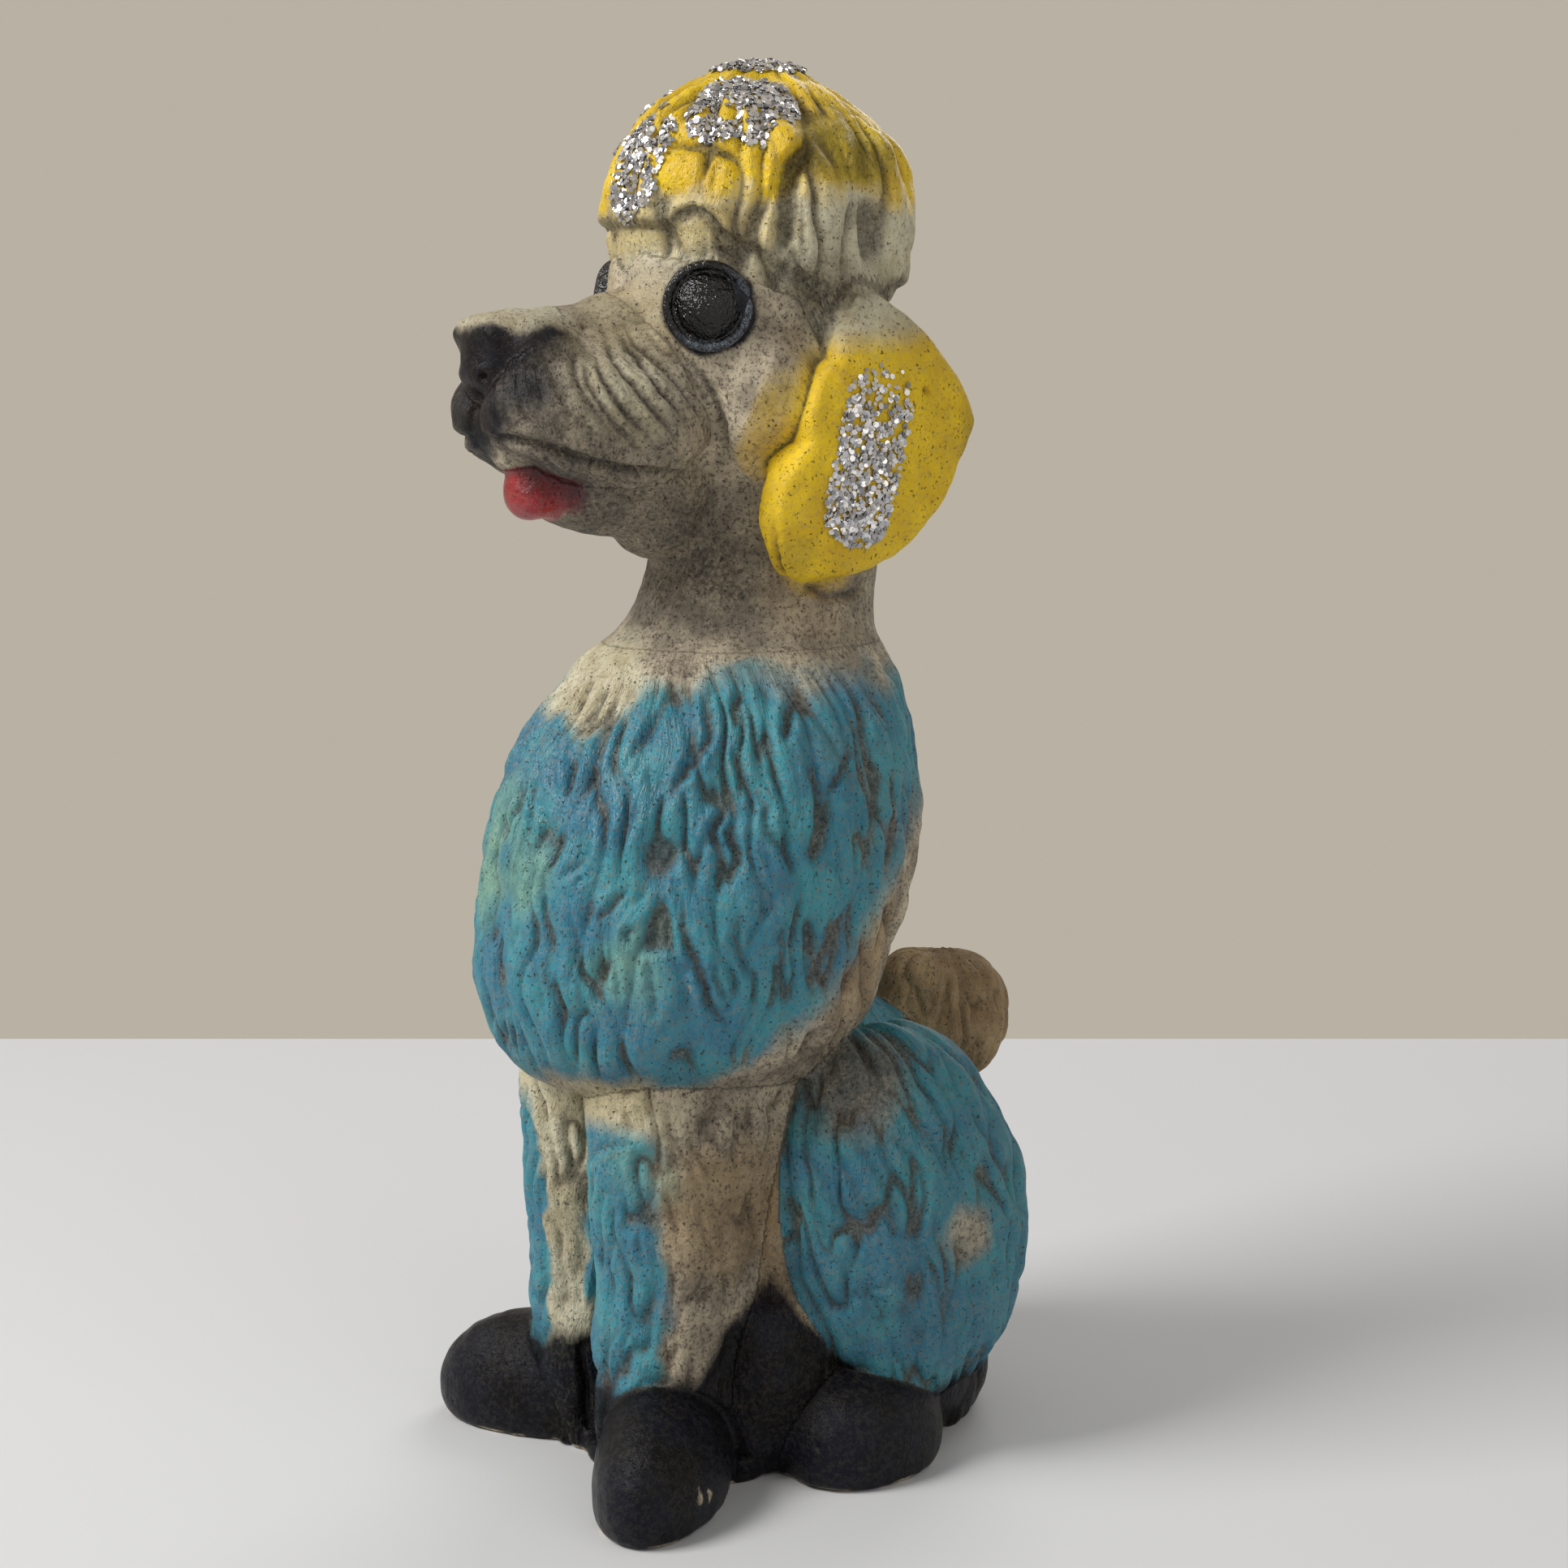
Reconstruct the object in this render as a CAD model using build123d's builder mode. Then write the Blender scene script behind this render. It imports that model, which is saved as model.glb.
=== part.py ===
"""A seated poodle cast in chalkware, with glued glitter patches: sizes in millimetres.

The figure rests on the plane z = 0 and faces -Y, its own left side is +X, and the origin lies
under the middle of its coat. Every modelled feature of the casting is its own solid, and where
two of them meet the smaller is cut to the larger, so that they seat face to face.
"""
import os
from copy import deepcopy
from math import cos, radians, sin
from build123d import *

# Heights that stack up from the base
hem_height = 90          # underside of the clipped coat
torso_rise = 97          # from the hem up to the collar line
neck_rise = 43           # from the collar line up to the throat

# Coat over chest and back
torso_half_width = 46
torso_half_depth = 49.8
torso_shares = (         # height, half-width, half-depth, lean
    (0.00, 0.56, 0.56, -0.17),
    (0.04, 0.75, 0.74, -0.16),
    (0.13, 0.88, 0.87, -0.13),
    (0.31, 0.98, 0.97, -0.08),
    (0.47, 1.00, 1.00, -0.01),
    (0.66, 0.97, 0.98, 0.04),
    (0.83, 0.85, 0.86, 0.12),
    (0.93, 0.73, 0.76, 0.18),
    (1.00, 0.61, 0.65, 0.23),
)

# Neck
neck_half_width = 24.5
neck_half_depth = 27
neck_set_back = 18       # axis of the neck behind the origin
neck_root = 12           # length that runs up inside the head
neck_shares = (          # height, half-width, half-depth, lean
    (0.00, 1.14, 1.20, -0.25),
    (0.08, 1.04, 1.09, -0.18),
    (0.25, 1.00, 1.01, -0.08),
    (0.60, 1.00, 1.00, 0.00),
    (1.00, 1.03, 1.00, 0.00),
)

# Skull
skull_half_width = 28
skull_half_depth = 30
skull_set_back = 10      # middle of the skull behind the origin
skull_rise = 64          # from its underside to its top
skull_drop = 9           # underside below the throat line
skull_shares = (         # height, half-width, half-depth, lean
    (0.00, 0.76, 0.84, 0.14),
    (0.15, 0.87, 0.95, 0.06),
    (0.40, 0.96, 1.02, -0.02),
    (0.62, 1.00, 1.00, 0.00),
    (0.84, 0.96, 0.98, 0.05),
    (1.00, 0.80, 0.82, 0.12),
)

# Muzzle with its two lip pads
muzzle_reach = 60        # from the middle of the skull to the tip
muzzle_half_width = 22
muzzle_half_height = 20
muzzle_lift = 14         # axis of the muzzle above the throat line
muzzle_shares = (        # length, half-width, half-height, lift
    (0.20, 1.00, 1.00, 0.00),
    (0.58, 0.77, 0.90, -0.15),
    (0.83, 0.68, 0.82, -0.22),
    (1.00, 0.52, 0.66, -0.16),
)
lip_half_thickness = 11.5
lip_half_length = 24
lip_half_height = 13.5
lip_spread = 13          # each pad beside the middle plane
lip_turn = (-8, 0, 12)   # tail end down, and outwards over the cheek
lip_length_share = 0.70
lip_lift_share = -0.38

# Nose
nose_half_width = 12
nose_depth = 17
nose_height = 16.5
nose_overhang = 7        # stands out in front of the muzzle
nose_lift = 15           # its top above the axis of the muzzle
nose_rounding = 4.6
nose_foot_share = 0.55   # width at the lip against width at the bridge
nostril_half_width = 3.4
nostril_half_height = 3.2
nostril_depth = 5
nostril_share = 0.48

# Lower jaw and tongue
jaw_half_width = 17
jaw_half_length = 27
jaw_half_height = 11.5
jaw_drop = 7.5           # middle of the jaw below the throat line
jaw_set_forward = 27     # middle of the jaw before the middle of the skull
tongue_half_width = 10
tongue_half_depth = 7.5
tongue_half_height = 8
tongue_set_in = 2.5      # its middle behind the tip of the jaw
tongue_drop = 8.5        # its middle below the throat line
tongue_tilt = -14        # top leans backwards, in degrees

# Eyes: a glossy dome inside a raised ring
eye_lift = 30.6          # above the throat line
eye_spread = 22
eye_set_forward = 20.4   # before the middle of the skull
eye_turn = 60            # how far each eye looks to the side, in degrees
eye_ring_radius = 9.6
eye_ring_rise = 1.6
eye_dome_radius = 7.6
eye_dome_rise = 4.4
eye_gutter = 0.2         # depth of the groove between dome and ring
eye_root = 10            # length set into the skull

# Ears
ear_top_lift = 36        # above the throat line
ear_drop = 66
ear_depth = 58
ear_set_forward = 13     # front edge before the middle of the skull
ear_inner_face = 25      # flat inner side beside the middle plane
ear_outer_face = 38      # crown of the domed outer side
ear_rounding = 3.2
ear_outline_shares = (   # backwards, downwards
    (0.28, 0.02),
    (0.66, 0.00),
    (0.86, 0.19),
    (1.00, 0.45),
    (0.83, 0.72),
    (0.45, 0.98),
    (0.12, 0.93),
    (0.00, 0.71),
    (0.15, 0.35),
)
ear_dome_bulge = 21      # half-thickness of the ball that gives the outer side its dome
ear_dome_share = 0.80    # its other half-sizes against the ear's own depth and drop

# Topknot
topknot_half_width = 31
topknot_half_depth = 33.5
topknot_rise = 51
topknot_lift = 30        # underside above the throat line
topknot_set_back = 15.5
topknot_tip_up = 9       # the fringe is higher over the face, in degrees
topknot_shares = (       # height, half-width, half-depth, lean
    (0.00, 0.84, 0.84, 0.05),
    (0.08, 0.96, 0.96, 0.03),
    (0.26, 1.02, 1.03, 0.01),
    (0.46, 1.00, 1.01, 0.00),
    (0.66, 0.88, 0.89, 0.00),
    (0.83, 0.66, 0.68, 0.00),
    (0.94, 0.40, 0.42, 0.00),
    (1.00, 0.14, 0.15, 0.00),
)
lock_count = 9
lock_half_width = 9.5
lock_tuck = 1.4          # locks end this far above the underside
lock_stand_share = 0.80  # middle of each lock on the way out to the rim
lock_height_share = 0.40
crown_half_width = 12
crown_half_height = 6.5
crown_stand = 4          # above the cap of locks

# Lower body and the thin web that ties the feet
rump_half_width = 35
rump_half_depth = 40
rump_set_back = 34
rump_root = 16           # length that runs up inside the coat
rump_shares = (          # height, half-width, half-depth, lean
    (0.00, 0.90, 0.92, 0.04),
    (0.07, 0.98, 0.99, 0.03),
    (0.38, 1.00, 1.00, 0.00),
    (0.66, 0.92, 0.94, -0.06),
    (0.85, 0.70, 0.76, -0.16),
    (1.00, 0.36, 0.36, -0.32),
)
web_half_width = 31
web_half_depth = 34
web_set_back = 4
web_thickness = 5

# Haunches and hind feet
haunch_half_width = 19
haunch_half_depth = 31
haunch_lift = 12         # lowest point above the ground
haunch_spread = 33
haunch_set_back = 34
haunch_overlap = 13      # top above the hem of the coat
haunch_lean = 14         # top leans forwards, in degrees
hind_foot_half_width = 16
hind_foot_half_depth = 22
hind_foot_height = 25
hind_foot_spread = 33
hind_foot_set_back = 23
hind_foot_splay = 20

# Forelegs and forepaws
foreleg_half_width = 17
foreleg_half_depth = 22
foreleg_spread = 16.5
foreleg_set_forward = 14
foreleg_root = 12        # length that runs up inside the coat
foreleg_shares = (       # height, half-width, half-depth, lean
    (0.00, 0.84, 0.74, -0.16),
    (0.30, 0.90, 0.82, -0.14),
    (0.60, 1.00, 0.95, -0.04),
    (0.85, 1.04, 1.12, 0.08),
    (1.00, 0.98, 1.06, 0.06),
)
forepaw_half_width = 17
forepaw_half_length = 25
forepaw_height = 27
forepaw_spread = 27
forepaw_set_forward = 26
forepaw_splay = 48       # each forepaw points this far outwards, in degrees

# A foot is a round lump sunk in the ground: this share of its height is under its middle
foot_sink_share = 0.34

# Tail
tail_half_width = 15
tail_half_depth = 17.5
tail_half_height = 17
tail_set_back = 68
tail_lift = 2            # middle above the hem of the coat
tail_curl_share = 0.62
tail_curl_place_shares = (0.0, -0.44, 0.42)

# Glitter glued on in patches
glitter_thickness = 0.8
glitter_bed = 9          # half-depth of the ovals that set a patch's outline
front_patch_heading = 9          # round the topknot from the face, in degrees
front_patch_elevation = 20
front_patch_half_width = 6
front_patch_half_height = 12
side_patch_headings = (42, 62)
side_patch_elevation = 44
side_patch_half_width = 6.5
side_patch_half_height = 9.5
crown_patch_half_width = 10
ear_patch_depth = 15
ear_patch_height = 38
ear_patch_lean = 12      # top leans backwards, in degrees
ear_patch_place_shares = (0.41, 0.56)

# Cuts run this far past what they cut
overrun = 40

# Levels and places that several pieces share
collar_height = hem_height + torso_rise
throat_height = collar_height + neck_rise
muzzle_height = throat_height + muzzle_lift
muzzle_tip = skull_set_back - muzzle_reach
topknot_base = throat_height + topknot_lift
lock_half_height = lock_height_share * topknot_rise - lock_tuck
haunch_half_height = (hem_height + haunch_overlap - haunch_lift) / 2
haunch_middle_height = haunch_lift + haunch_half_height
tail_middle_height = hem_height + tail_lift

# Balls of radius 1, with their poles upright and with their poles fore and aft
unit_ball = Sphere(1)
fore_ball = Sphere(1, rotation=(90, 0, 0))


def add_stacked_ellipses(base, rise, half_width, half_depth, middle, shares):
    """Lofts a skin through level ellipses, from the table of shares of the named sizes."""
    spread, set_back = middle
    outlines = []
    for height_share, width_share, depth_share, lean_share in shares:
        place = (spread, set_back + lean_share * half_depth, base + height_share * rise)
        with BuildSketch(Plane(origin=place)) as outline:
            Ellipse(width_share * half_width, depth_share * half_depth)
        outlines.append(outline.sketch)
    loft(outlines)


def add_lump(middle, half_sizes, turn=(0, 0, 0), mode=Mode.ADD, ball=unit_ball):
    """Adds an egg-shaped lump with three half-sizes, turned and set at its middle."""
    lump = scale(ball, by=half_sizes, mode=Mode.PRIVATE)
    with Locations(Location(middle, turn)):
        add(lump, mode=mode)


def add_foot(middle, half_width, half_length, height, splay):
    """Adds a rounded foot, flat on the ground plane and pointing outwards by its splay."""
    half_height = height / (1 + foot_sink_share)
    spread, set_back = middle
    add_lump((spread, set_back, height - half_height), (half_width, half_length, half_height),
             (0, 0, splay))
    split(bisect_by=Plane.XY, keep=Keep.TOP)


def cut_to(*neighbours):
    """Cuts the piece being made to copies of the finished pieces that it seats on."""
    for neighbour in neighbours:
        add(deepcopy(neighbour.part), mode=Mode.SUBTRACT)


def write_step(piece, name):
    """Labels a finished piece and writes it to its own file."""
    piece.part.label = name
    export_step(piece.part, f"parts/{name}.step")


def write_pair(piece, name):
    """Writes a left-hand piece and its mirror image on the right."""
    write_step(piece, f"left_{name}")
    with BuildPart() as twin:
        mirror(piece.part, about=Plane.YZ)
    write_step(twin, f"right_{name}")


os.makedirs("parts", exist_ok=True)

# Coat over chest and back, the largest form: everything that meets it is cut to it
with BuildPart() as torso:
    add_stacked_ellipses(hem_height, torso_rise, torso_half_width, torso_half_depth,
                         (0, 0), torso_shares)
write_step(torso, "torso")

# Skull
with BuildPart() as head:
    add_stacked_ellipses(throat_height - skull_drop, skull_rise, skull_half_width,
                         skull_half_depth, (0, skull_set_back), skull_shares)
write_step(head, "head")

# Neck, flared where it stands on the collar line
with BuildPart() as neck:
    add_stacked_ellipses(collar_height, neck_rise + neck_root, neck_half_width,
                         neck_half_depth, (0, neck_set_back), neck_shares)
    cut_to(head)
write_step(neck, "neck")

# Lower body between the haunches, with the web on the ground
with BuildPart() as rump:
    add_stacked_ellipses(0, hem_height + rump_root, rump_half_width, rump_half_depth,
                         (0, rump_set_back), rump_shares)
    with BuildSketch(Plane(origin=(0, web_set_back))):
        Ellipse(web_half_width, web_half_depth)
    extrude(amount=web_thickness)
    cut_to(torso)
write_step(rump, "rump")

# Haunch
with BuildPart() as left_haunch:
    add_lump((haunch_spread, haunch_set_back, haunch_middle_height),
             (haunch_half_width, haunch_half_depth, haunch_half_height), (haunch_lean, 0, 0))
    cut_to(torso, rump)
write_pair(left_haunch, "haunch")

# Forepaw
with BuildPart() as left_forepaw:
    add_foot((forepaw_spread, -forepaw_set_forward), forepaw_half_width, forepaw_half_length,
             forepaw_height, forepaw_splay)
    split(bisect_by=Plane.YZ, keep=Keep.TOP)
    cut_to(rump)
write_pair(left_forepaw, "forepaw")

# Foreleg: the two legs meet along the middle plane, with a groove down the front
with BuildPart() as left_foreleg:
    add_stacked_ellipses(0, hem_height + foreleg_root, foreleg_half_width, foreleg_half_depth,
                         (foreleg_spread, -foreleg_set_forward), foreleg_shares)
    split(bisect_by=Plane.YZ, keep=Keep.TOP)
    cut_to(torso, rump, left_haunch, left_forepaw)
write_pair(left_foreleg, "foreleg")

# Hind foot, out in front of the haunch
with BuildPart() as left_hind_foot:
    add_foot((hind_foot_spread, hind_foot_set_back), hind_foot_half_width,
             hind_foot_half_depth, hind_foot_height, hind_foot_splay)
    cut_to(rump, left_haunch, left_foreleg, left_forepaw)
write_pair(left_hind_foot, "hind_foot")

# Tail: a clipped pompom with a curl on its top
with BuildPart() as tail:
    tail_middle = Vector(0, tail_set_back, tail_middle_height)
    tail_half_sizes = Vector(tail_half_width, tail_half_depth, tail_half_height)
    add_lump(tail_middle, tuple(tail_half_sizes), ball=fore_ball)
    curl_place = [share * half for share, half in zip(tail_curl_place_shares, tail_half_sizes)]
    add_lump(tail_middle + Vector(curl_place), tuple(tail_half_sizes * tail_curl_share), ball=fore_ball)
    cut_to(torso, rump)
write_step(tail, "tail")

# Muzzle: a tapering snout with a fat lip pad down each side
with BuildPart() as muzzle:
    muzzle_outlines = []
    for reach_share, width_share, height_share, lift_share in muzzle_shares:
        section_lift = muzzle_height + lift_share * muzzle_half_height
        section_place = (0, skull_set_back - reach_share * muzzle_reach, section_lift)
        with BuildSketch(Plane(origin=section_place, x_dir=(1, 0, 0), z_dir=(0, -1, 0))) as section_outline:
            Ellipse(width_share * muzzle_half_width, height_share * muzzle_half_height)
        muzzle_outlines.append(section_outline.sketch)
    loft(muzzle_outlines)
    lip_reach = skull_set_back - lip_length_share * muzzle_reach
    lip_height = muzzle_height + lip_lift_share * muzzle_half_height
    for side in (1, -1):
        tip_down, roll, swing = lip_turn
        add_lump((side * lip_spread, lip_reach, lip_height),
                 (lip_half_thickness, lip_half_length, lip_half_height),
                 (tip_down, roll, -side * swing))
    cut_to(head, neck)
write_step(muzzle, "muzzle")

# Lower jaw
jaw_middle = (0, skull_set_back - jaw_set_forward, throat_height - jaw_drop)
with BuildPart() as lower_jaw:
    add_lump(jaw_middle, (jaw_half_width, jaw_half_length, jaw_half_height), ball=fore_ball)
    cut_to(head, neck, muzzle)
write_step(lower_jaw, "lower_jaw")

# Tongue, a fat drop on the front of the jaw
with BuildPart() as tongue:
    add_lump((0, skull_set_back - jaw_set_forward - jaw_half_length + tongue_set_in,
              throat_height - tongue_drop),
             (tongue_half_width, tongue_half_depth, tongue_half_height), (tongue_tilt, 0, 0),
             ball=fore_ball)
    cut_to(lower_jaw, muzzle)
write_step(tongue, "tongue")

# Nose: broad at the bridge, narrow at the lip, with two nostrils let into its front
nose_front = muzzle_tip - nose_overhang
nose_top = muzzle_height + nose_lift
with BuildPart() as nose:
    with BuildSketch(Plane(origin=(0, nose_front, nose_top), x_dir=(1, 0, 0), z_dir=(0, -1, 0))) as nose_outline:
        with BuildLine():
            nose_foot = nose_foot_share * nose_half_width
            Polyline((-nose_half_width, 0), (nose_half_width, 0), (nose_foot, -nose_height),
                     (-nose_foot, -nose_height), close=True)
        make_face()
        fillet(nose_outline.vertices(), nose_rounding)
    extrude(amount=-nose_depth)
    front_rim = nose.faces().sort_by(Axis.Y)[0].edges()
    fillet(front_rim, nose_rounding)
    for side in (1, -1):
        add_lump((side * nostril_share * nose_half_width, nose_front, nose_top - nose_height / 2),
                 (nostril_half_width, nostril_depth, nostril_half_height), mode=Mode.SUBTRACT)
    cut_to(muzzle)
write_step(nose, "nose")

# Eye: a glossy dome inside a raised ring, turned as one button and set into the skull
eye_facing = Vector(0, -1, 0).rotate(Axis.Z, eye_turn)
eye_middle = Vector(eye_spread, skull_set_back - eye_set_forward, throat_height + eye_lift)
eye_axis_plane = Plane(origin=eye_middle, x_dir=(0, 0, 1), z_dir=Vector(0, 0, 1).cross(eye_facing))
ring_shoulder = eye_ring_rise - (eye_ring_radius - eye_dome_radius) / 2
with BuildPart() as left_eye:
    with BuildSketch(eye_axis_plane):
        with BuildLine():
            TangentArc((0, eye_dome_rise), (eye_dome_radius, -eye_gutter), tangent=(1, 0))
            Line((eye_dome_radius, -eye_gutter), (eye_dome_radius, ring_shoulder))
            TangentArc((eye_dome_radius, ring_shoulder), (eye_ring_radius, ring_shoulder), tangent=(0, 1))
            Polyline((eye_ring_radius, ring_shoulder), (eye_ring_radius, -eye_root),
                     (0, -eye_root), (0, eye_dome_rise))
        make_face()
    revolve(axis=Axis(eye_middle, eye_facing))
    cut_to(head, muzzle)
write_step(left_eye, "left_eye")
with BuildPart() as right_eye:
    mirror(left_eye.part, about=Plane.YZ)
write_step(right_eye, "right_eye")

# Topknot: a cap of fat locks over the skull, with a knob on its crown and a slanting fringe
topknot_middle = Vector(0, topknot_set_back, topknot_base + lock_height_share * topknot_rise)
fringe_plane = Plane(origin=(0, topknot_set_back, topknot_base)).rotated((-topknot_tip_up, 0, 0))
with BuildPart() as topknot:
    add_stacked_ellipses(topknot_base, topknot_rise, topknot_half_width, topknot_half_depth,
                         (0, topknot_set_back), topknot_shares)
    for lock in range(lock_count):
        heading = Vector(0, -1, 0).rotate(Axis.Z, lock * 360 / lock_count)
        stand = Vector(heading.X * topknot_half_width, heading.Y * topknot_half_depth, 0)
        add_lump(topknot_middle + stand * lock_stand_share,
                 (lock_half_width, lock_half_width, lock_half_height))
    add_lump((0, topknot_set_back, topknot_base + topknot_rise + crown_stand - crown_half_height),
             (crown_half_width, crown_half_width, crown_half_height))
    split(bisect_by=fringe_plane, keep=Keep.TOP)
    cut_to(head, left_eye, right_eye)
write_step(topknot, "topknot")

# Ear: a drooping flap with a flat inner side and a domed outer side
ear_front = skull_set_back - ear_set_forward
ear_top = throat_height + ear_top_lift
ear_plane = Plane(origin=(ear_inner_face, ear_front, ear_top), x_dir=(0, 1, 0), z_dir=(1, 0, 0))
ear_dome_middle = (ear_outer_face - ear_dome_bulge, ear_front + ear_depth / 2, ear_top - ear_drop / 2)
ear_dome_half_sizes = (ear_dome_bulge, ear_dome_share * ear_depth, ear_dome_share * ear_drop)
with BuildPart() as left_ear:
    with BuildSketch(ear_plane):
        with BuildLine():
            Spline([(back * ear_depth, -down * ear_drop) for back, down in ear_outline_shares],
                   periodic=True)
        make_face()
    extrude(amount=overrun)
    add_lump(ear_dome_middle, ear_dome_half_sizes, mode=Mode.INTERSECT)
    outer_rim = left_ear.faces().sort_by(Axis.X)[-1].edges()
    fillet(outer_rim, ear_rounding)
    cut_to(head, neck, topknot, muzzle, lower_jaw)
write_pair(left_ear, "ear")

# Glitter on the topknot: each patch is a skin of the topknot's own shape, grown by its thickness
glitter_skin = scale(topknot.part, by=1 + glitter_thickness / topknot_half_width, about=topknot_middle)


def patch_plane(heading, elevation):
    """The plane on the topknot's dome at a heading round from the face and an elevation."""
    level = Vector(0, -1, 0).rotate(Axis.Z, heading)
    facing = level * cos(radians(elevation)) + Vector(0, 0, sin(radians(elevation)))
    reach = Vector(facing.X * topknot_half_width, facing.Y * topknot_half_depth,
                   facing.Z * (1 - lock_height_share) * topknot_rise)
    return Plane(origin=topknot_middle + reach, x_dir=Vector(0, 0, 1).cross(level), z_dir=facing)


def add_topknot_patch(headings, elevation, half_width, half_height):
    """Adds one patch of glitter, from one oval or a few side by side."""
    for heading in headings:
        plane = patch_plane(heading, elevation)
        with Locations(plane):
            add(scale(unit_ball, by=(half_width, half_height, glitter_bed), mode=Mode.PRIVATE))
    add(glitter_skin, mode=Mode.INTERSECT)
    cut_to(topknot)


with BuildPart() as topknot_glitter_front:
    add_topknot_patch([front_patch_heading], front_patch_elevation,
                      front_patch_half_width, front_patch_half_height)
write_step(topknot_glitter_front, "topknot_glitter_front")

with BuildPart() as topknot_glitter_left:
    add_topknot_patch(side_patch_headings, side_patch_elevation,
                      side_patch_half_width, side_patch_half_height)
write_step(topknot_glitter_left, "topknot_glitter_left")

with BuildPart() as topknot_glitter_right:
    mirror(topknot_glitter_left.part, about=Plane.YZ)
write_step(topknot_glitter_right, "topknot_glitter_right")

with BuildPart() as topknot_glitter_crown:
    add_topknot_patch([0], 90, crown_patch_half_width, crown_patch_half_width)
write_step(topknot_glitter_crown, "topknot_glitter_crown")

# Glitter down each ear
ear_skin = scale(unit_ball, by=tuple(half + glitter_thickness for half in ear_dome_half_sizes))
patch_back, patch_down = ear_patch_place_shares
with BuildPart() as ear_glitter_left:
    with BuildSketch(ear_plane.offset((ear_outer_face - ear_inner_face) / 2)):
        with Locations((patch_back * ear_depth, -patch_down * ear_drop)):
            SlotOverall(ear_patch_height, ear_patch_depth, rotation=90 - ear_patch_lean)
    extrude(amount=overrun)
    with Locations(Location(ear_dome_middle)):
        add(ear_skin, mode=Mode.INTERSECT)
    cut_to(left_ear)
write_step(ear_glitter_left, "ear_glitter_left")

with BuildPart() as ear_glitter_right:
    mirror(ear_glitter_left.part, about=Plane.YZ)
write_step(ear_glitter_right, "ear_glitter_right")
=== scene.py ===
import math

import bpy
import numpy as np
from mathutils import Matrix, Vector, kdtree, noise
from mathutils.bvhtree import BVHTree


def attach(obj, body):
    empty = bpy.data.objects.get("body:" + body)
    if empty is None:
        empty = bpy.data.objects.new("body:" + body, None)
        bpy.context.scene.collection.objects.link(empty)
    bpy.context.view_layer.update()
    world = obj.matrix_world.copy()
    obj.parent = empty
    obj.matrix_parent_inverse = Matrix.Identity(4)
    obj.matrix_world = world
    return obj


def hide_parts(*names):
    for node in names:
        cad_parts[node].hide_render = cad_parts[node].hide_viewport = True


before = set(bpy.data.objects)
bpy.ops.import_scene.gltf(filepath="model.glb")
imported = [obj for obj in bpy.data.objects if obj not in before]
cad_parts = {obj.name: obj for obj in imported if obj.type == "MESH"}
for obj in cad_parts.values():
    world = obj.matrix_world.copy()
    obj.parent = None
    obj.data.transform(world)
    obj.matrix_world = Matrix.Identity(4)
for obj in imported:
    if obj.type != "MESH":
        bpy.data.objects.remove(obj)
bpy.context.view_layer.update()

# The table top and the camera. The figure stands on a pale cloth-covered table in front of a
# beige wall, and is seen from its left front, a little above its collar.
MM = 0.001
CAMERA_PLACE = (0.493437, -0.285972, 0.240)
CAMERA_TURN = (81.5, 0, 58)
CAMERA_LENS = 58.25
TABLE_BACK = 0.376
TABLE_REACH = 1.6
WALL_BEIGE = "#B9B1A3"
TABLE_WHITE = "#DEDDDC"
# Lamps: place and aim in metres, width in metres, power in watts
LAMPS = {
    "window_light": ((-0.15, -1.0, 1.05), (0, 0, 0.17), 0.55, 15),
    "room_light": ((1.1, 0.15, 0.7), (0, 0, 0.15), 1.0, 2.5),
    "back_light": ((-0.7, 0.9, 0.9), (0, 0, 0.17), 0.8, 5),
}
ROOM_STRENGTH = 0.24        # light that comes from all round, against the wall's own brightness of 1


def linear(code):
    """An sRGB hex colour as the linear RGBA that the shader sockets take."""
    shares = [int(code[i:i + 2], 16) / 255 for i in (1, 3, 5)]
    return [s / 12.92 if s <= 0.04045 else ((s + 0.055) / 1.055) ** 2.4 for s in shares] + [1.0]


def add_node(tree, kind, inputs=None, output=0, **settings):
    """Adds one node, sets its settings, fills or links its inputs, and gives one of its outputs."""
    node = tree.nodes.new("ShaderNode" + kind)
    for name, value in settings.items():
        setattr(node, name, value)
    for socket, value in (inputs or {}).items():
        if isinstance(value, bpy.types.NodeSocket):
            tree.links.new(value, node.inputs[socket])
        else:
            node.inputs[socket].default_value = value
    return node.outputs[output] if node.outputs else None


def new_material(name):
    """An empty material of a name, with its node tree and its shader."""
    material = bpy.data.materials.new(name)
    material.use_nodes = True
    return material, material.node_tree, material.node_tree.nodes["Principled BSDF"]


camera = bpy.data.objects.new("camera", bpy.data.cameras.new("camera"))
camera.location = CAMERA_PLACE
camera.rotation_euler = [math.radians(angle) for angle in CAMERA_TURN]
camera.data.lens = CAMERA_LENS
bpy.context.collection.objects.link(camera)
bpy.context.scene.camera = camera
bpy.context.scene.view_settings.view_transform = "Standard"

bpy.ops.object.select_all(action="DESELECT")
bpy.ops.mesh.primitive_plane_add(size=1, rotation=(0, 0, math.radians(CAMERA_TURN[2])))
table_top = bpy.context.object
table_top.name = "table_top"
table_top.scale = (2 * TABLE_REACH, TABLE_REACH + TABLE_BACK, 1)
bpy.ops.object.transform_apply(location=False, rotation=False, scale=True)
table_top.data.transform(Matrix.Translation((0, (TABLE_BACK - TABLE_REACH) / 2, 0)))
bpy.ops.object.transform_apply(location=True, rotation=True, scale=True)
# Woven table cloth, drawn plain: it gives the eye a matt off-white without any shine
cloth, tree, shader = new_material("matt_table_cloth")
shader.inputs["Roughness"].default_value = 0.9
shader.inputs["Base Color"].default_value = linear(TABLE_WHITE)
table_top.data.materials.append(cloth)


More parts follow.
